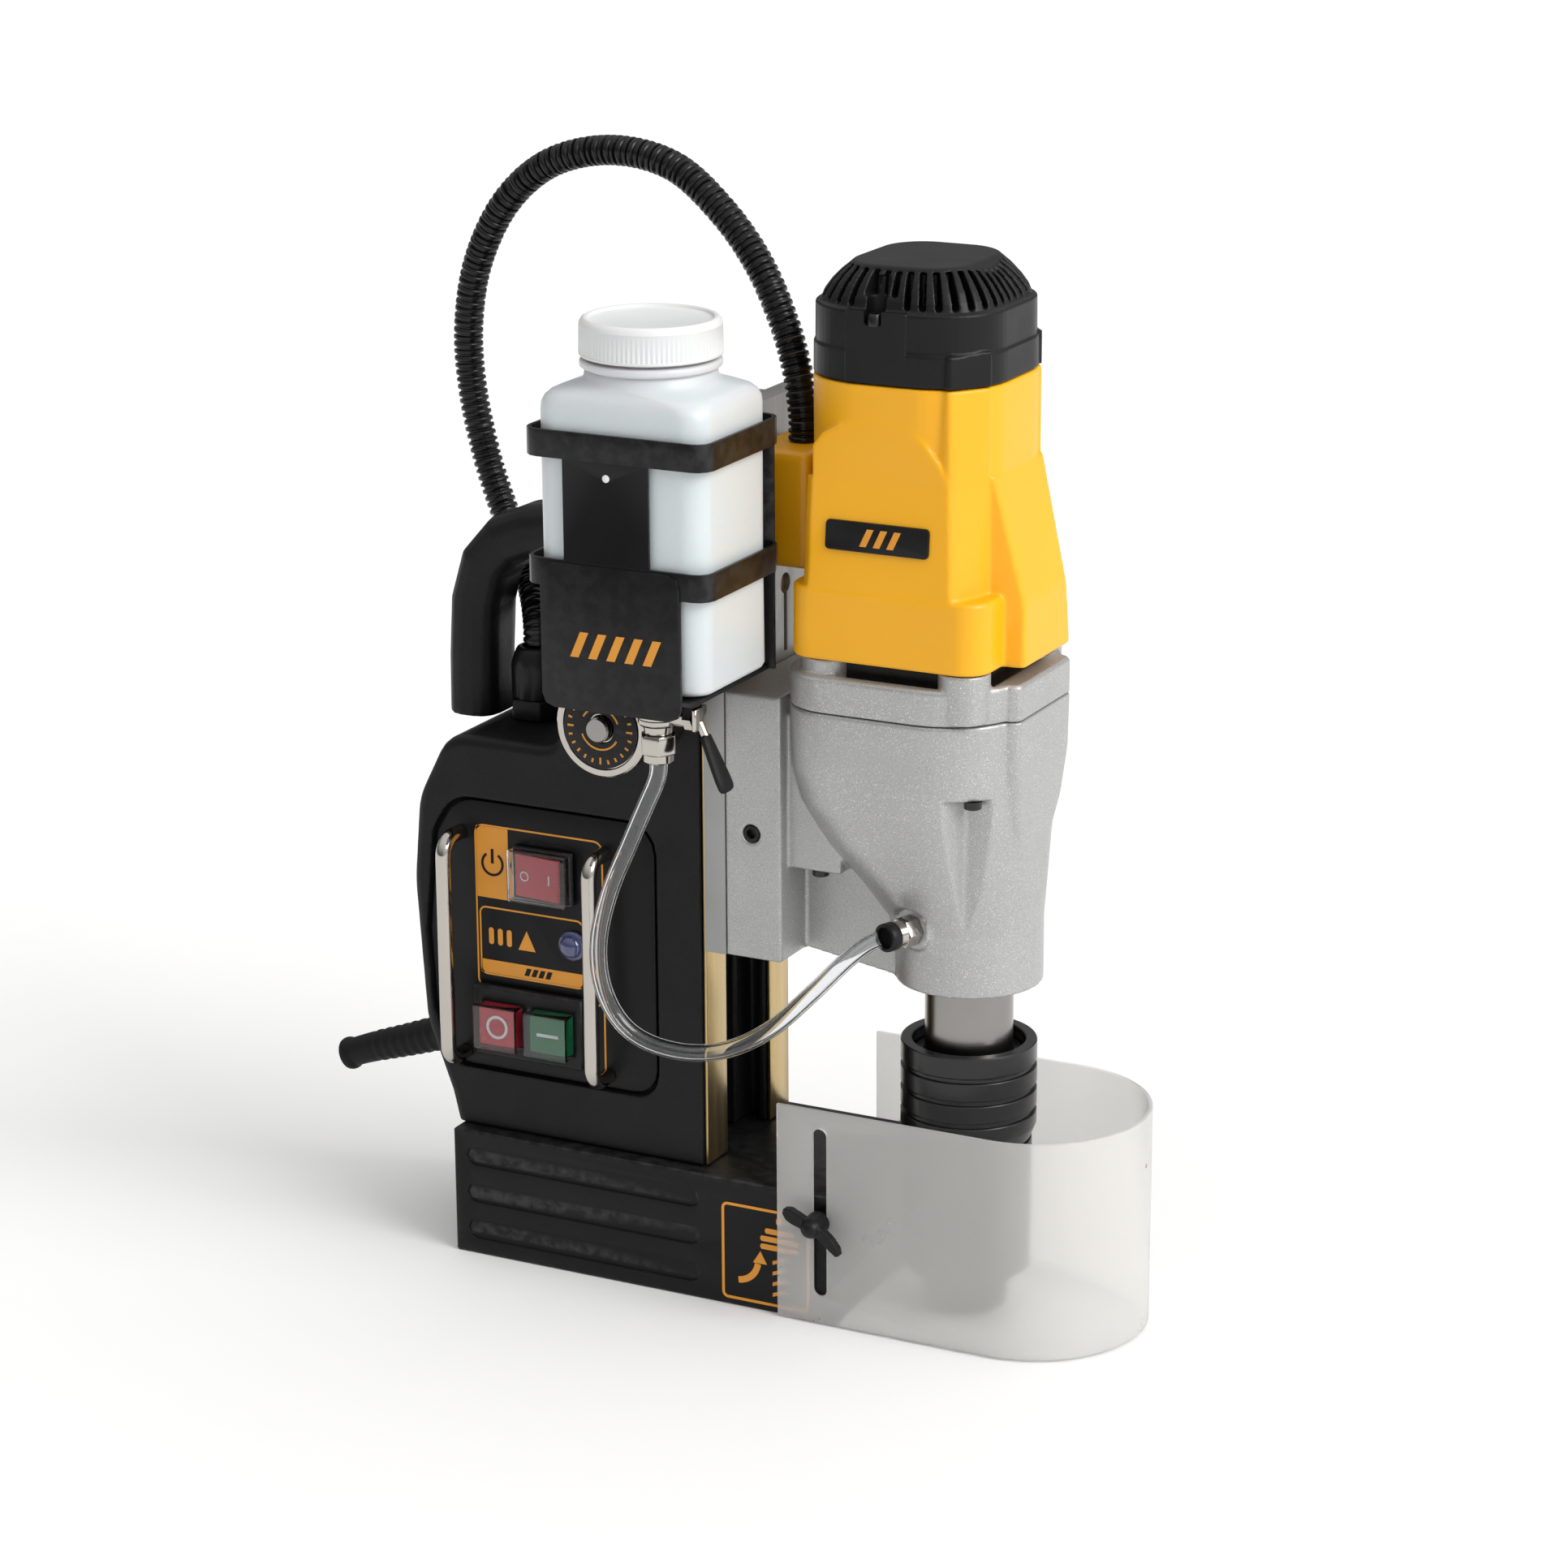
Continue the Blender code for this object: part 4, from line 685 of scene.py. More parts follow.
def make_switches():
    lamp_y = PANEL_FACE - 0.3
    dome = [(5.8, lamp_y), (5.8, lamp_y - 1.2), (5.4, lamp_y - 1.6), (4.9, lamp_y - 1.7)]
    dome += [(4.7 * math.cos(math.pi / 2 * k / 10),
        lamp_y - 1.8 - 3.5 * math.sin(math.pi / 2 * k / 10)) for k in range(11)]
    piece("overload_lamp_lens", lathe(dome, (-32.0, 133.0), 40, "Y"), "lamp_lens", "frame",
        ("overload_lamp",))
    refined("rocker_frame", "rocker_bezel", "black_plastic", "frame", 0.3, 2, 40)
    make_rocker_key()
    refined("rocker_hood", "rocker_cover", "clear_plastic", "frame", 0.3, 2, 50)
    refined("button_frame", "button_unit", "black_plastic", "frame", 0.3, 2, 40)
    for node, body, x, slot in BUTTONS:
        piece(node + "_key", bevelled(from_cad(node), 0.35, 2, 40), slot, body, (node,))
        face = -42.4
        if body == "stop":
            mark = print_frame(circle(4.6, (x, BUTTON_Z), 40), circle(3.5, (x, BUTTON_Z), 40), face)
        else:
            mark = print_shape(rect(x - 4.6, x + 4.6, BUTTON_Z - 0.6, BUTTON_Z + 0.6), face)
        piece(node + "_mark", mark, slot, body, material="print_white")
        hood = cut(bevelled(box((x - 9.6, -45.6, BUTTON_Z - 9.1), (x + 9.6, -38.6, BUTTON_Z + 9.1)), 1.0,
            3), box((x - 8.9, -44.9, BUTTON_Z - 8.4), (x + 8.9, -30.0, BUTTON_Z + 8.4)))
        piece(node + "_hood", hood, "clear_plastic", "frame")


# Mains boot and gland


BOOT_ROUTE = ((-94.9, 0, 79.9), (-107, 0, 75.4), (-119, 0, 71.0), (-131, 0, 66.7), (-143, 0, 62.6),
    (-151, 0, 59.6), (-158.5, 0, 56.4))
GLAND = (-65.5, 1.0)


def make_boot():
    points, length = smooth_route(BOOT_ROUTE, 1.0)
    radii = []
    for index in range(len(points)):
        along = index / (len(points) - 1)
        radius = 7.6 - 1.9 * along
        at = along * length
        if at < 2.6:
            radius = 9.1 - 0.2 * max(0.0, at - 1.6) ** 2
        if 8.0 < at < length - 14:
            radius += 0.22 * math.sin(at * math.tau / 4.4)
        if length - at < 3.2:
            radius = 6.75 - 0.35 * (1.6 - (length - at)) ** 2 / 2.56
        radii.append(radius)
    piece("strain_relief", skin(sweep(points, radii, 36)), "black_rubber", "frame", ("cord_boot",), 45.0)


def make_gland():
    refined("gland_foot", "gland_base", "black_plastic", "frame", 0.8, 3)
    low, bore, segments = 220.1, 6.2, 96
    rings = []
    for height, radius in (
        (low, 9.9), (low + 1.0, 10.5), (232.6, 10.5), (234.2, 10.2), (236.6, 9.4), (238.6, 8.6), (239.6, 7.9),
        (240.0, 7.0),
    ):
        ring = []
        for k in range(segments):
            angle = math.tau * k / segments
            dip = 0.55 if (k % 8 in (3, 4, 5) and low + 0.5 < height < 234.0) else 0.0
            ring.append((GLAND[0] + (radius - dip) * math.cos(angle),
                GLAND[1] + (radius - dip) * math.sin(angle), height))
        rings.append(ring)
    inside = [level_ring(bore, z, GLAND, segments) for z in (240.0, low)]
    piece("gland_dome", skin(rings + inside, loop=True), "black_plastic", "frame", ("gland_nut",))


# Coolant bottle, bracket and tap


BOTTLE = (22.9, -66.25)


def bottle_ring(z, half_x, half_y, radius):
    return [(x, y, z) for x, y in rounded_rect(half_x, half_y, radius, BOTTLE, 12)]


def make_bottle():
    outer = [(256.3, 30.4, 23.6, 7.4), (256.6, 31.8, 25.0, 8.0), (257.6, 33.4, 26.6, 8.6),
        (259.2, 34.2, 27.4, 9.0), (300.0, 33.95, 27.15, 9.0), (346.0, 34.1, 27.3, 9.2),
        (356.0, 34.2, 27.4, 9.4), (358.6, 34.0, 27.2, 9.6), (360.8, 33.2, 26.7, 10.4),
        (362.4, 31.8, 26.0, 12.0), (363.4, 29.8, 25.2, 15.0), (364.2, 27.4, 24.9, 19.0),
        (365.2, 25.2, 24.6, 22.4), (366.4, 24.3, 24.2, 23.8), (369.0, 23.9, 23.9, 23.8),
        (369.6, 23.2, 23.2, 23.1), (370.0, 23.4, 23.4, 23.3), (370.5, 25.2, 25.2, 25.1),
        (371.0, 25.7, 25.7, 25.6), (372.6, 25.7, 25.7, 25.6), (373.2, 25.2, 25.2, 25.1),
        (373.6, 22.6, 22.6, 22.5), (376.0, 22.6, 22.6, 22.5)]
    inner = [(376.0, 21.0, 21.0, 20.9), (364.8, 21.0, 21.0, 20.9), (362.2, 28.0, 23.6, 13.0),
        (360.2, 31.4, 25.0, 9.0), (357.4, 32.7, 25.9, 7.5), (260.1, 32.7, 25.9, 7.5),
        (258.1, 30.8, 24.0, 7.0), (258.0, 10.0, 10.0, 7.0)]
    rings = [bottle_ring(*row) for row in outer + inner]
    piece("bottle_body", skin(rings), "bottle_white", "frame", ("coolant_bottle",), 50.0)
    segments = 180
    rings = []
    for height, radius, depth in (
        (374.6, 25.5, 0.0), (374.9, 25.9, 0.0), (375.5, 26.0, 0.0), (375.8, 26.0, 0.36), (385.2, 25.8, 0.36),
        (385.6, 25.8, 0.0), (386.6, 25.5, 0.0), (387.6, 24.9, 0.0), (388.1, 24.0, 0.0), (388.0, 22.9, 0.0),
        (387.1, 22.2, 0.0), (386.9, 21.4, 0.0), (386.8, 0.01, 0.0),
    ):
        rings.append([(BOTTLE[0] + (radius - depth * (k % 2)) * math.cos(math.tau * k / segments),
            BOTTLE[1] + (radius - depth * (k % 2)) * math.sin(math.tau * k / segments),
            height) for k in range(segments)])
    inside = [level_ring(radius, z, BOTTLE, segments) for radius,
        z in ((0.01, 384.0), (24.7, 384.0), (24.7, 374.6))]
    piece("ribbed_cap", skin(rings + inside, loop=True), "cap_white", "cap", ("bottle_cap",), 30.0)


def make_bracket():
    refined("bracket_sheet", "bottle_bracket", "bracket_black", "frame", 0.3, 2, 40)
    marks = []
    for k in range(5):
        x = 5.0 + 7.4 * k
        marks.append(print_shape([(x, 268.0), (x + 3.4, 268.0), (x + 7.6, 277.5), (x + 4.2, 277.5)], -97.2))
    orange("bracket_stripes", marks)
    rivet = ((0.01, -94.3), (1.4, -94.3), (1.4, -96.25), (0.8, -96.5), (0.01, -96.55))
    piece("bracket_rivet", lathe(rivet, (20.2, 334.5), 24, "Y"), "chrome", "frame", material="print_white")


TAP = (29.8, -77.5)


def make_tap():
    profile = ((5.0, 237.4), (5.2, 237.8), (5.2, 240.2), (6.6, 240.6), (7.4, 241.6), (7.4, 243.0),
        (7.1, 243.3), (7.1, 248.4), (7.4, 248.8), (7.4, 250.6), (6.9, 251.4), (6.3, 251.8), (6.3, 255.9))
    body = joined(lathe(profile, TAP, 48), rod((TAP[0], TAP[1], 245), (TAP[0] + 12.4, TAP[1], 245), 4.2,
        32), rod((TAP[0] + 12.2, TAP[1], 245), (TAP[0] + 15.6, TAP[1], 245), 4.9, 6))
    piece("tap_casting", body, "chrome", "frame", ("tap_body",))
    nut = joined(bevelled(prism(circle(7.0, TAP, 6), 230.0, 237.1), 0.5, 2),
        lathe(((5.0, 226.4), (5.6, 227.0), (5.6, 229.6), (4.8, 230.3)), TAP, 40))
    piece("tap_union", nut, "chrome", "frame", ("tap_nut",))
    refined("tap_blade", "tap_lever", "chrome", "tap", 0.2, 2, 40)
    pivot = Vector((TAP[0] + 17.2, TAP[1], 245.0))
    start, end = pivot + Vector((-0.2, 0, -1.5)), pivot + Vector((9.4, 0, -22.5))
    along = (end - start).normalized()
    stations = ((5.2, 1.3, 2.6), (5.8, 1.7, 3.1), (10.0, 1.8, 3.6), (16.0, 1.9, 4.3), (22.0, 1.9, 5.0),
        (25.4, 1.8, 5.0), (26.8, 1.4, 4.2), (27.3, 0.6, 2.6))
    across, wide = Vector((along.z, 0, -along.x)), Vector((0, 1, 0))
    rings = []
    for distance, thin, broad in stations:
        centre = start + along * distance
        rings.append([centre + across * thin * math.cos(a) + wide * broad * math.sin(a)
            for a in (math.tau * k / 28 for k in range(28))])
    piece("lever_grip", skin(rings), "black_rubber", "tap", ("lever_sleeve",), 60.0)


# Chip guard


def guard_half(inset, steps=20):
    rear, front, half, corner = 60.0, 191.0 - inset, 44.4 - inset, 44.3 - inset
    points = []
    for side, start in ((-1, -90.0), (1, 0.0)):
        for step in range(steps + 1):
            angle = math.radians(start + 90.0 * step / steps)
            points.append((front - corner + corner * math.cos(angle),
                side * (half - corner) + corner * math.sin(angle)))
    return [(rear, -half), *points, (rear, half)]


def make_guard():
    outer, inner = guard_half(0.0), guard_half(1.6)
    sheet = prism(outer + inner[::-1], 1.0, 87.0)
    slot = prism(rounded_rect(2.9, 33.9, 2.85, (78.0, 45.7), 8), -60.0, 60.0, "Y")
    piece("guard_sheet", bevelled(cut(sheet, slot), 0.25, 2, 45), "frosted_sheet", "guard", ("chip_guard",),
        30.0)
    for node, side in (("wing_screw_near", -1), ("wing_screw_far", 1)):
        face = side * 44.7
        hub = [rod((78.0, face, 42.4), (78.0, face + side * 7.5, 42.4), 4.6, 40, 4.0),
            ball((78.0, face + side * 7.0, 42.4), 3.9)]
        lobe = ((1.5, -3.4), (5.0, -3.0), (8.6, -2.2), (11.4, 0.2), (11.9, 3.2), (10.4, 5.0), (7.6, 4.6),
            (4.6, 3.4), (1.5, 3.4))
        for wing in (-1, 1):
            blade = prism([(78.0 + wing * u, 42.4 - wing * (0.62 * u - 0.8) - v * 0.8) for u, v in lobe],
                face + side * 4.2, face + side * 7.6, "Y")
            hub.append(blade)
        body = "wing_near" if side < 0 else "wing_far"
        shape = moulded(joined(*hub), 0.3, 6, 0.5)
        piece(node + "_wings", shape, "black_plastic", body, (node,), 60.0)
        shank = rod((78.0, side * 31.0, 42.4), (78.0, face + side * 1.0, 42.4), 2.3, 24)
        piece(node + "_stud", shank, "steel", body)


# Feed hub


FEED = (1.0, 233.0)


def make_feed():
    rim = ((7.8, -36.4), (17.4, -36.4), (18.2, -37.2), (18.2, -64.8), (18.8, -65.4), (18.8, -68.2),
        (18.2, -68.9), (16.0, -69.0), (15.6, -68.6), (15.6, -68.2), (5.1, -68.2), (5.1, -57.5),
        (7.8, -57.5))
    piece("hub_rim", lathe(rim, FEED, 96, "Y", loop=True), "chrome", "feed_shaft", ("quick_release_hub",),
        30.0)
    disc = ((5.6, -68.5), (15.1, -68.5), (15.2, -68.7), (15.2, -69.3), (15.0, -69.4), (5.8, -69.4),
        (5.6, -69.2))
    piece("hub_disc", lathe(disc, FEED, 96, "Y", loop=True), "black_plastic", "feed_shaft", ("hub_dial",),
        30.0)
    marks = []
    for k in range(24):
        middle = k * 15.0
        length = 2.6 if k % 6 == 0 else 1.6
        marks.append(print_shape(arc_band(FEED, 13.6 - length, 13.6, middle - 1.8, middle + 1.8, 3), -69.4))
    marks.append(print_shape(arc_band(FEED, 7.6, 8.3, 20, 150, 20), -69.4))
    marks.append(print_shape(arc_band(FEED, 7.6, 8.3, 200, 330, 20), -69.4))
    orange("hub_marks", marks, "feed_shaft")
    pin = ((0.01, -60.5), (4.75, -60.5), (4.75, -71.6), (4.2, -72.3), (2.4, -72.4), (0.01, -72.4))
    piece("release_plunger", lathe(pin, FEED, 48, "Y"), "steel", "release", ("release_pin",), 30.0)
    cap = ((7.8, 36.4), (15.4, 36.4), (16.0, 37.0), (16.0, 45.9), (14.6, 47.4), (0.01, 47.5), (0.01, 44.4),
        (7.8, 44.4))
    piece("shaft_cap", lathe(cap, FEED, 72, "Y", loop=True), "chrome", "feed_shaft", ("shaft_end_cap",),
        30.0)


# Slide, gearbox and motor


def screw_head(centre, radius, height):
    """A cap screw head with a hexagon socket, looking down."""
    x, y, z = centre
    head = lathe(((0.01, z), (radius * 0.9, z), (radius, z + 0.3), (radius, z + height)), (x, y), 32)
    return cut(head, prism(circle(radius * 0.5, (x, y), 6), z - 1.0, z + height * 0.6))


SPINDLE = (119.3, 0.0)
GEARBOX_SECTIONS = ((145.0, 119.3, 27.4, 27.3, 27.3), (158.0, 118.2, 28.6, 27.8, 28.0),
    (172.0, 113.2, 33.2, 28.0, 29.0), (188.0, 107.6, 38.5, 26.0, 31.0), (204.0, 104.2, 42.3, 23.0, 31.4),
    (218.0, 103.2, 43.7, 20.5, 31.4), (236.0, 103.0, 44.0, 20.0, 31.4), (241.2, 103.0, 44.0, 20.0, 31.4),
    (241.7, 103.0, 43.6, 19.8, 31.0))


def casting_ring(z, centre, half, radius, near):
    """A rounded square whose two front corners are rounder than its rear ones."""
    ring = []
    for quarter, (side_x, side_y) in enumerate(((1, 1), (-1, 1), (-1, -1), (1, -1))):
        turn = near if side_x > 0 else radius
        for step in range(13):
            angle = math.pi / 2 * (quarter + step / 12)
            x = centre + side_x * (half - turn) + turn * math.cos(angle)
            y = side_y * (half - turn) + turn * math.sin(angle)
            ring.append((x, y, z))
    return ring


def casting_flank(levels):
    """The raised middle of the casting's front face: each level is (z, front x, half width)."""
    rings = [[(x, y, z) for x, y in ((110.0, -edge - 5), (front - 3.4, -edge - 2.6),
        (front - 1.0, -edge - 1.2), (front, -edge + 0.6), (front, edge - 0.6), (front - 1.0, edge + 1.2),
        (front - 3.4, edge + 2.6), (110.0, edge + 5))] for z, front, edge in levels]
    return skin(rings)


def make_gearbox():
    bowl = skin([casting_ring(*row) for row in GEARBOX_SECTIONS])
    flank = casting_flank(((170.0, 141.0, 6.0), (186.0, 145.0, 13.0), (204.0, 147.6, 19.0),
        (222.0, 149.0, 22.0), (241.7, 149.2, 22.4)))
    toward = Vector((math.cos(math.radians(249.1)), math.sin(math.radians(249.1)), 0.0))
    boss = Vector((*SPINDLE, 158.3))
    face = boss + toward * 29.6
    web = ((50, 235), (50, 141.5), (98, 134.2), (112, 150), (112, 235))
    whole = joined(bowl, flank, box((34.9, -35.4, 139.7), (58, 35.4, 243)), prism(web, -15, 15, "Y"),
        box((52, -30, 176), (80, 30, 235.5)), rod((*SPINDLE, 133.5), (*SPINDLE, 156.0), 27.8, 72),
        rod(boss + toward * 15, face, 8.0, 36))
    cutters = [rod((*SPINDLE, 110), (*SPINDLE, 172), 17.3, 48), rod(face, face + toward * 14, 8.8, 36)]
    for side in (-1, 1):
        mouth = ((124.0, 47.0), (146.0, 46.0), (150.5, 29.0), (131.0, 29.6))
        tip = ((128.9, 26.9), (129.1, 26.9), (129.1, 26.7), (128.9, 26.7))
        rings = [[(x, side * y, z) for x, y in ring] for ring, z in ((tip, 158.0), (mouth, 213.5))]
        cutters.append(skin(rings))
    cutters.append(rod((45.5, -40, 188.8), (45.5, -31, 188.8), 3.6, 32))
    shape = moulded(cut(whole, *cutters), 0.7, 4, 0.5)
    piece("gearbox_body", shape, "silver_cast", "carriage", ("gearbox_casting",), 60.0)
    screws = []
    for side in (-1, 1):
        screws.append(screw_head((135.2, side * 33.4, 210.4), 3.3, 3.0))
        screws.append(screw_head((69.5, side * 25.0, 173.2), 3.2, 3.2))
    piece("gearbox_screws", together(*screws), "arbor_black", "carriage")
    plug = ((0.01, -30.4), (3.3, -30.4), (3.3, -34.6), (2.9, -35.1), (1.9, -35.2), (1.7, -33.0),
        (0.01, -33.0))
    piece("block_plug_head", lathe(plug, (45.5, 188.8), 36, "Y"), "black_plastic", "carriage",
        ("block_plug",), 30.0)
    make_cover()


def make_cover():
    """A lipped lid with four posts that carry the motor. Between the posts a black block fills the gap as
    painted shade for the dark recess.
    """
    low, lip, top = 242.0, 255.6, 261.2
    rim = skin([casting_ring(z, 103.0, half, radius, near) for z, half, radius,
        near in ((low, 43.6, 19.8, 31.0), (low + 0.5, 44.0, 20.0, 31.4), (lip - 1.6, 44.2, 20.0, 31.4),
        (lip - 0.5, 43.8, 19.8, 31.0), (lip, 42.6, 19.0, 30.0))])
    flank = casting_flank(((low, 149.2, 22.4), (lip - 1.0, 149.4, 22.0), (lip, 148.4, 21.4)))
    pit = skin(stacked(((lip - 3.0, 103.0, 36.0, 38.4, 8.0), (lip + 3.0, 104.0, 38.0, 40.6, 8.0)), 8))
    posts = []
    for x, y in ((131.0, -32.2), (131.0, 32.2), (75.5, -31.0), (75.5, 31.0)):
        posts.append(rod((x, y, low + 1), (x, y, top), 9.6, 40))
    shape = moulded(joined(cut(joined(rim, flank), pit), *posts), 0.6, 3, 0.45)
    piece("cover_body", shape, "silver_cast", "carriage", ("gearbox_cover",), 60.0)
    # Painted shade: a black block set into the pit between the posts stands for the shadow in the gap under
    # the motor.
    ring = cut(prism(rounded_rect(33.0, 34.0, 9.0, (103.0, 0.0), 6), lip - 3.4, top),
        rod((MOTOR, 0, low), (MOTOR, 0, 270), 8.0))
    piece("cover_gap_painted_shade", bevelled(ring, 0.4), "black_plastic", "carriage")


MOTOR = 100.4
SPLIT = 364.0


def barrel_ring(z, grow=0.0):
    return [(x, y, z) for x, y in rounded_rect(36.5 + grow, 36.6 + grow, 25.5 + grow, (MOTOR, 0.0), 14)]


def corner_rib(levels):
    """The upright ribs at both front corners of the barrel: each level is (z, crease x, crease y)."""
    ribs = []
    for side in (-1, 1):
        rings = []
        for z, x, y in levels:
            ring = ((119.0, 24.0), (120.6, y - 2.4), (123.8, y - 0.7), (x - 0.6, y), (x + 0.6, y - 0.3),
                (x + 2.4, y - 2.5), (136.2, 22.4), (128.0, 6.0))
            rings.append([(u, side * v, z) for u, v in ring])
        ribs.append(skin(rings))
    return ribs


def make_motor():
    low = 261.5
    foot = skin(stacked(((low, 102.2, 38.8, 41.2, 10.0), (low + 0.7, 102.2, 39.3, 41.8, 10.5),
        (287.0, 102.0, 39.2, 41.4, 10.5), (288.2, 101.6, 38.6, 41.0, 10.0)), 12))
    barrel = skin([barrel_ring(z, grow) for z, grow in ((low + 0.2, 0.5), (340.0, 0.6),
        (SPLIT - 0.2, 0.7))])
    ribs = corner_rib(((262.0, 128.6, 41.4), (289.0, 128.4, 41.0), (328.0, 126.5, 37.2),
        (345.0, 126.2, 36.6), (SPLIT - 0.2, 125.8, 35.8)))
    slabs = []
    for side in (-1, 1):
        rings = [[(u, side * v, z) for u, v in ((72.0, 20.0), (68.4, y - 4.6), (72.4, y), (x, y),
            (x, 20.0))] for z, x, y in ((262.0, 128.6, 41.4), (289.0, 128.4, 41.0), (328.0, 126.5, 37.4))]
        slabs.append(skin(rings))
        arch = [(72.4, 327.0), (72.4, 340.0), (76.0, 344.6), (83.0, 348.4), (92.0, 350.4), (102.0, 350.8),
            (110.0, 349.0), (117.0, 344.4), (122.4, 338.2), (126.4, 329.6), (126.4, 327.0)]
        slabs.append(prism(arch, side * 20.0, side * 37.4, "Y"))
    flare = [[(x, y, z) for x, y in ((112.0, -25.0), (128.0, -24.0), (137.0, -22.3),
        (front - 0.9, -edge - 0.6), (front, -edge + 0.6), (front, edge - 0.6), (front - 0.9, edge + 0.6),
        (137.0, 22.3), (128.0, 24.0), (112.0, 25.0))] for z, front,
        edge in ((low, 149.2, 20.0), (low + 0.6, 149.6, 20.4), (284.0, 148.9, 19.0), (287.0, 148.4, 18.8),
        (331.5, 137.5, 21.9))]
    shell = together(foot, barrel, skin(flare), *ribs, *slabs)
    piece("motor_body", moulded(shell, 0.7, 4, 0.4), "yellow_plastic", "carriage", ("motor_shell",), 60.0)
    make_badge()
    make_cap()
    piece("connector_body", moulded(from_cad("connector_block"), 0.6, 4, 0.6), "yellow_plastic", "carriage",
        ("connector_block",), 60.0)


def make_badge():
    """A plain raised name plate with three slanted bars, on the near face's slope."""

    def leaning(outline, near, far):
        return skin([[(x, y - (308.6 - z) * 0.106, z) for x, z in outline] for y in (near, far)])

    plate_ring = rounded_rect(20.5, 5.4, 1.6, (99.6, 308.6), 6)
    piece("motor_badge", bevelled(leaning(plate_ring, -37.4, -40.3), 0.35, 2, 40), "black_plastic",
        "carriage")
    bars = []
    for x in (93.0, 98.4, 103.8):
        outline = [(x, 305.4), (x + 2.6, 305.4), (x + 5.4, 311.8), (x + 2.8, 311.8)]
        bars.append(leaning(outline, -40.1, -40.55))
    orange("motor_badge_bars", bars, "carriage")


def make_cap():
    low, step, shoulder = SPLIT + 0.3, 375.6, 390.5
    wall = skin([barrel_ring(z, grow) for z, grow in ((low, 0.7), (step, 0.6), (step + 0.5, 0.0),
        (shoulder - 0.6, -0.1), (shoulder, -0.8))])
    ribs = corner_rib(((low, 125.8, 35.8), (step, 125.4, 35.0), (step + 1.2, 124.6, 33.0)))
    boss = [prism([(85.0, side * 20.0), (86.0, side * 37.5), (109.0, side * 37.5), (112.5, side * 20.0)],
        low, shoulder) for side in (-1, 1)]
    dome = ((shoulder - 6.0, 34.4, 34.6, 24.0), (shoulder + 0.5, 34.6, 34.8, 24.0),
        (394.0, 33.2, 34.0, 23.0), (397.5, 30.6, 32.4, 21.5), (401.0, 27.2, 30.2, 19.5),
        (404.0, 23.4, 27.4, 16.5), (404.9, 22.4, 26.4, 15.6), (405.4, 21.2, 25.2, 14.8))
    whole = joined(wall, skin(stacked([(z, MOTOR, hx, hy, r) for z, hx, hy, r in dome], 14)), *ribs, *boss)
    slots = []
    for k in range(40):
        angle = math.tau * (k + 0.5) / 40
        beside_screw = abs((math.degrees(angle) - 266.0 + 180) % 360 - 180) < 16
        bottom = shoulder + (4.6 if beside_screw else 0.7)
        blade = prism([(26.5, bottom), (46.0, bottom), (46.0, 404.0), (28.0, 404.0), (25.4, 402.6)], -1.2,
            1.2, "Y")
        bmesh.ops.rotate(blade, verts=blade.verts, cent=(0, 0, 0), matrix=Matrix.Rotation(angle, 3, "Z"))
        bmesh.ops.translate(blade, verts=blade.verts, vec=(MOTOR, 0, 0))
        slots.append(blade)
    notch = box((93.2, -48.0, shoulder - 5.0), (100.0, -33.4, shoulder + 3.0))
    recess = rod((96.6, -34.0, shoulder - 5.0), (96.6, -31.0, shoulder + 12.0), 4.0, 24)
    whole = cut(whole, together(*slots), notch, recess)
    piece("cap_body", moulded(whole, 0.5, 2, 0.35), "black_plastic", "carriage", ("motor_cap",), 60.0)
    piece("cap_screw", screw_head_side((96.6, -35.2, shoulder - 4.4), 2.8, 3.4), "arbor_black", "carriage")


def screw_head_side(centre, radius, height):
    x, y, z = centre
    return lathe(((0.01, z - 1.0), (radius, z - 1.0), (radius, z + height - 0.8),
        (radius - 0.6, z + height), (radius * 0.5, z + height), (radius * 0.45, z + 1.0), (0.01, z + 1.0)),
        (x, y), 32)


def make_slide():
    refined("slide_body", "slide_bar", "slide_grey", "carriage", 0.4, 2, 40)
    refined("rack_body", "feed_rack", "steel", "carriage", 0.1, 1, 40)


# Spindle, arbor and coolant fitting


def make_spindle():
    sleeve = ((0.01, 62.0), (15.7, 62.0), (16.7, 63.0), (16.7, 158.3), (10.0, 158.3), (10.0, 221.0),
        (9.0, 222.0), (0.01, 222.0))
    piece("spindle_sleeve", lathe(sleeve, SPINDLE, 96), "steel", "spindle", ("spindle",), 30.0)
    arbor = ((17.1, 103.6), (17.3, 103.9), (20.6, 103.9), (20.8, 103.6), (20.8, 69.6), (24.0, 69.6),
        (24.2, 69.2), (24.2, 18.8), (22.4, 16.9), (15.7, 16.4), (15.6, 16.2), (15.6, 4.8), (14.2, 3.2),
        (9.9, 3.2), (9.6, 3.6), (9.6, 48.0), (17.1, 48.0))
    piece("arbor_body", lathe(arbor, SPINDLE, 96, loop=True), "arbor_black", "spindle", ("tool_arbor",),
        30.0)
    rings = [(21.4, 108.6), (21.8, 109.0), (25.4, 109.0), (25.85, 108.5)]
    for top in (101.0, 92.0, 83.0):
        rings += [(25.85, top + 0.3), (25.6, top), (24.7, top - 0.2), (24.5, top - 1.0), (24.7, top - 1.9),
            (25.6, top - 2.1), (25.85, top - 2.4)]
    rings += [(25.85, 75.8), (25.5, 74.9), (23.8, 70.3), (23.2, 70.0), (21.4, 70.0)]
    piece("collar_body", lathe(rings, SPINDLE, 120, loop=True), "arbor_black", "collar",
        ("locking_collar",), 30.0)


def make_fitting():
    refined("fitting_body", "coolant_fitting", "chrome", "carriage", 0.3, 2, 40)
    refined("collet_body", "fitting_collet", "black_plastic", "carriage", 0.3, 2, 50)


make_foot()
make_column()
make_panel()
make_boot()
make_gland()
make_bottle()
make_bracket()
make_tap()
make_guard()
make_feed()
make_gearbox()
make_motor()
make_slide()
make_spindle()
make_fitting()


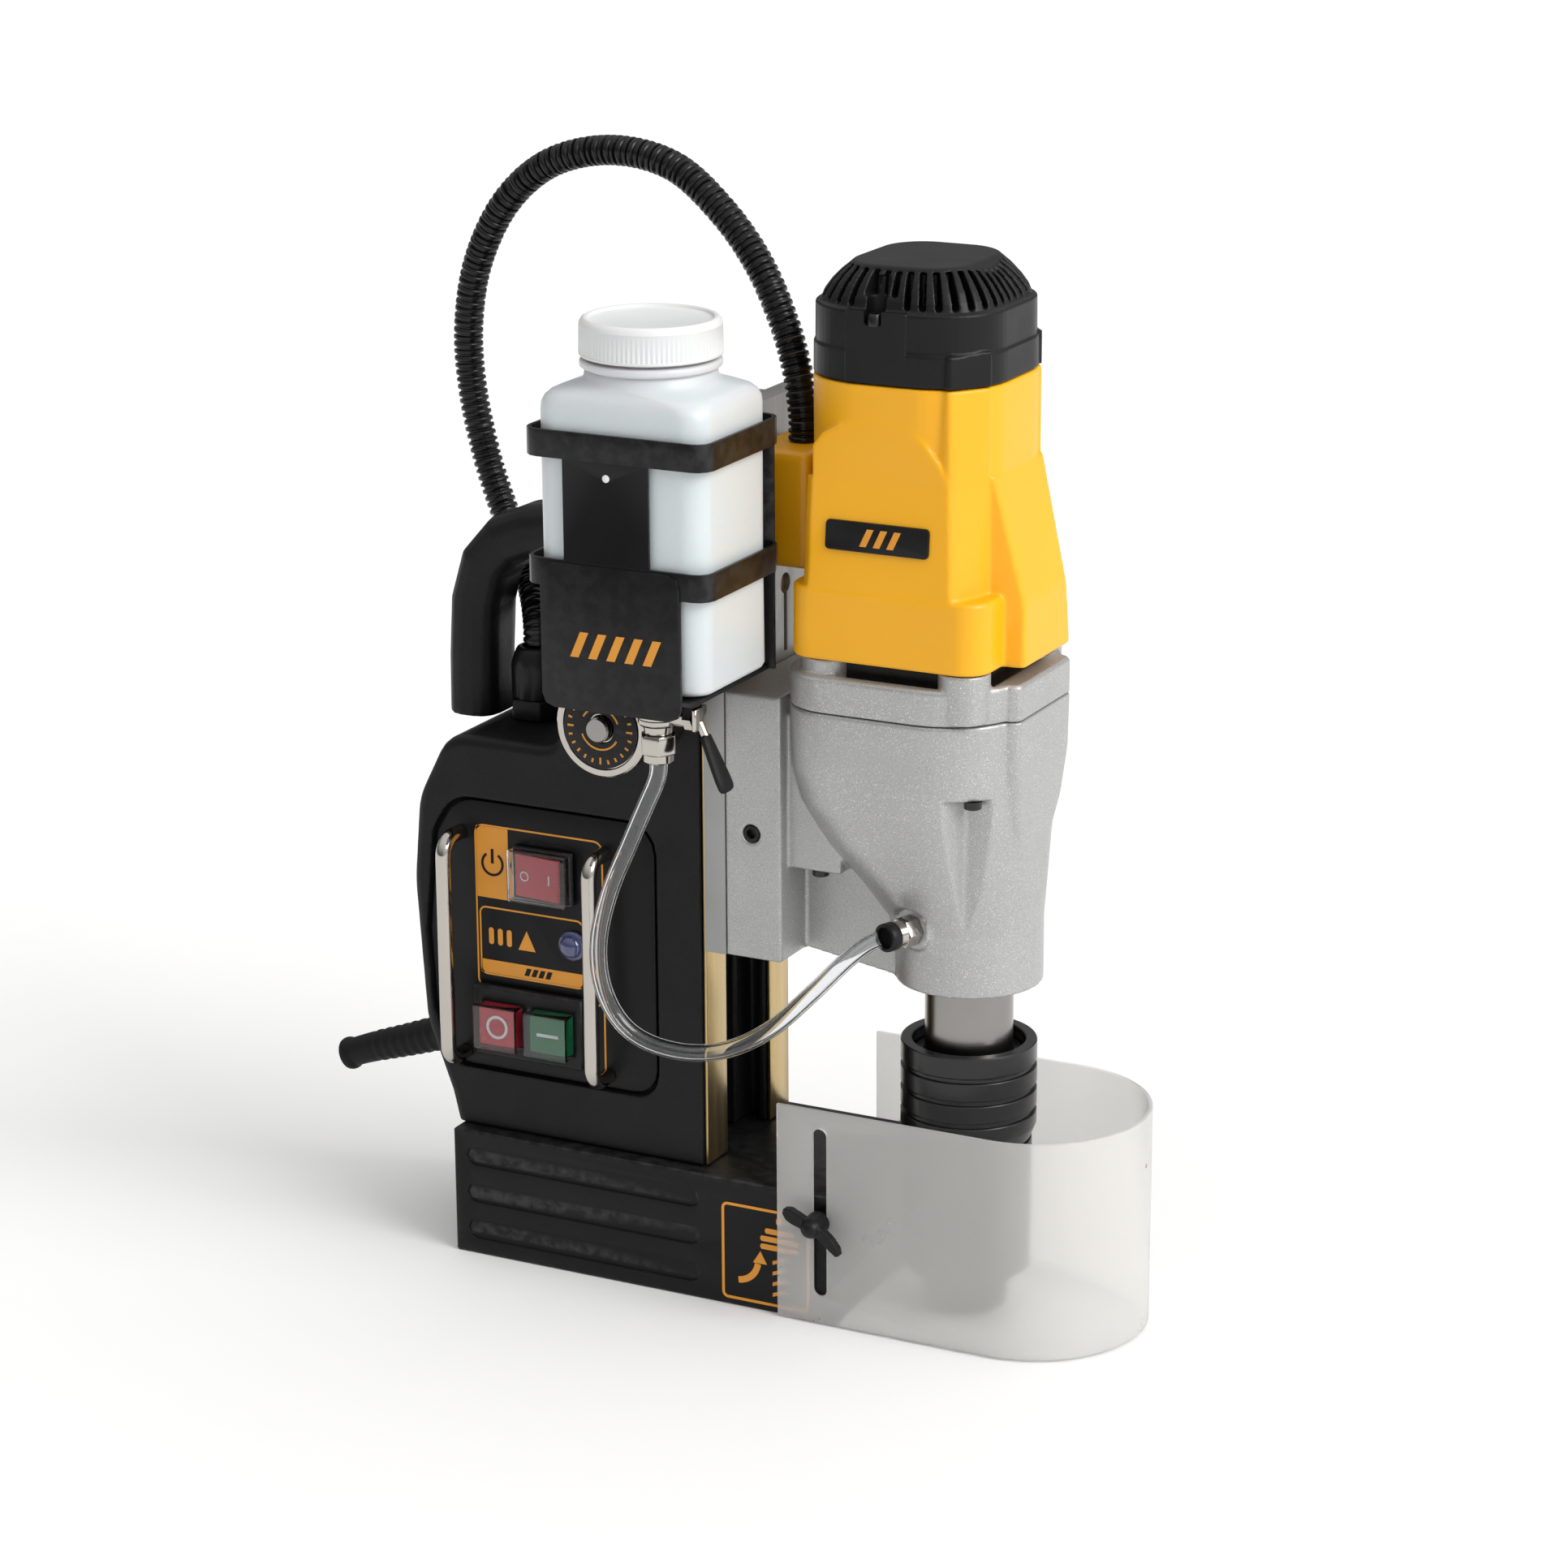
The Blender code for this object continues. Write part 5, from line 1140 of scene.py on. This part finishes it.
def finish_cad_nodes():
    for name, node in NODES.items():
        if node.hide_render:
            continue
        node.data.materials.clear()
        node.data.materials.append(MATERIALS[SLOT_OF[name]])


finish_cad_nodes()


# Floor and light


def make_stage():
    made = bmesh.new()
    bmesh.ops.create_grid(made, x_segments=1, y_segments=1, size=60.0)
    mesh = bpy.data.meshes.new("floor")
    made.to_mesh(mesh)
    made.free()
    floor = bpy.data.objects.new("floor", mesh)
    paint = Surface("floor_paint", (0.93, 0.93, 0.93), 0.7).mottle(0.005, 2.0).shine(0.1).done()
    mesh.materials.append(paint)
    SCENE.collection.objects.link(floor)


def make_world():
    """A studio that is bright overhead and on the spindle's side, and dim behind the viewer."""
    world = bpy.data.worlds.new("studio")
    SCENE.world = world
    world.use_nodes = True
    tree = world.node_tree
    background = tree.nodes["Background"]
    background.inputs["Color"].default_value = (1.0, 0.995, 0.985, 1.0)
    direction = tree.nodes.new("ShaderNodeTexCoord").outputs["Generated"]
    parts = tree.nodes.new("ShaderNodeSeparateXYZ")
    tree.links.new(direction, parts.inputs[0])
    strength = None
    for socket, low, high, start, end in (("Z", 0.1, 0.95, -0.05, 1.0), ("X", 0.0, 0.6, 0.1, 1.0)):
        ramp = tree.nodes.new("ShaderNodeMapRange")
        ramp.interpolation_type = "SMOOTHSTEP"
        ramp.inputs["From Min"].default_value = start
        ramp.inputs["From Max"].default_value = end
        ramp.inputs["To Min"].default_value = low
        ramp.inputs["To Max"].default_value = high
        tree.links.new(parts.outputs[socket], ramp.inputs["Value"])
        if strength is None:
            strength = ramp.outputs["Result"]
            continue
        total = tree.nodes.new("ShaderNodeMath")
        total.operation = "ADD"
        tree.links.new(strength, total.inputs[0])
        tree.links.new(ramp.outputs["Result"], total.inputs[1])
        strength = total.outputs[0]
    tree.links.new(strength, background.inputs["Strength"])


def make_sun():
    data = bpy.data.lights.new("window", "SUN")
    data.energy = 1.9
    data.angle = math.radians(35.0)
    lamp = bpy.data.objects.new("window", data)
    lamp.rotation_mode = "QUATERNION"
    lamp.rotation_quaternion = Vector((0.82, -0.14, 0.56)).to_track_quat("Z", "Y")
    SCENE.collection.objects.link(lamp)


def make_lights():
    make_world()
    make_sun()
    SCENE.view_settings.view_transform = "Standard"


make_stage()
make_lights()
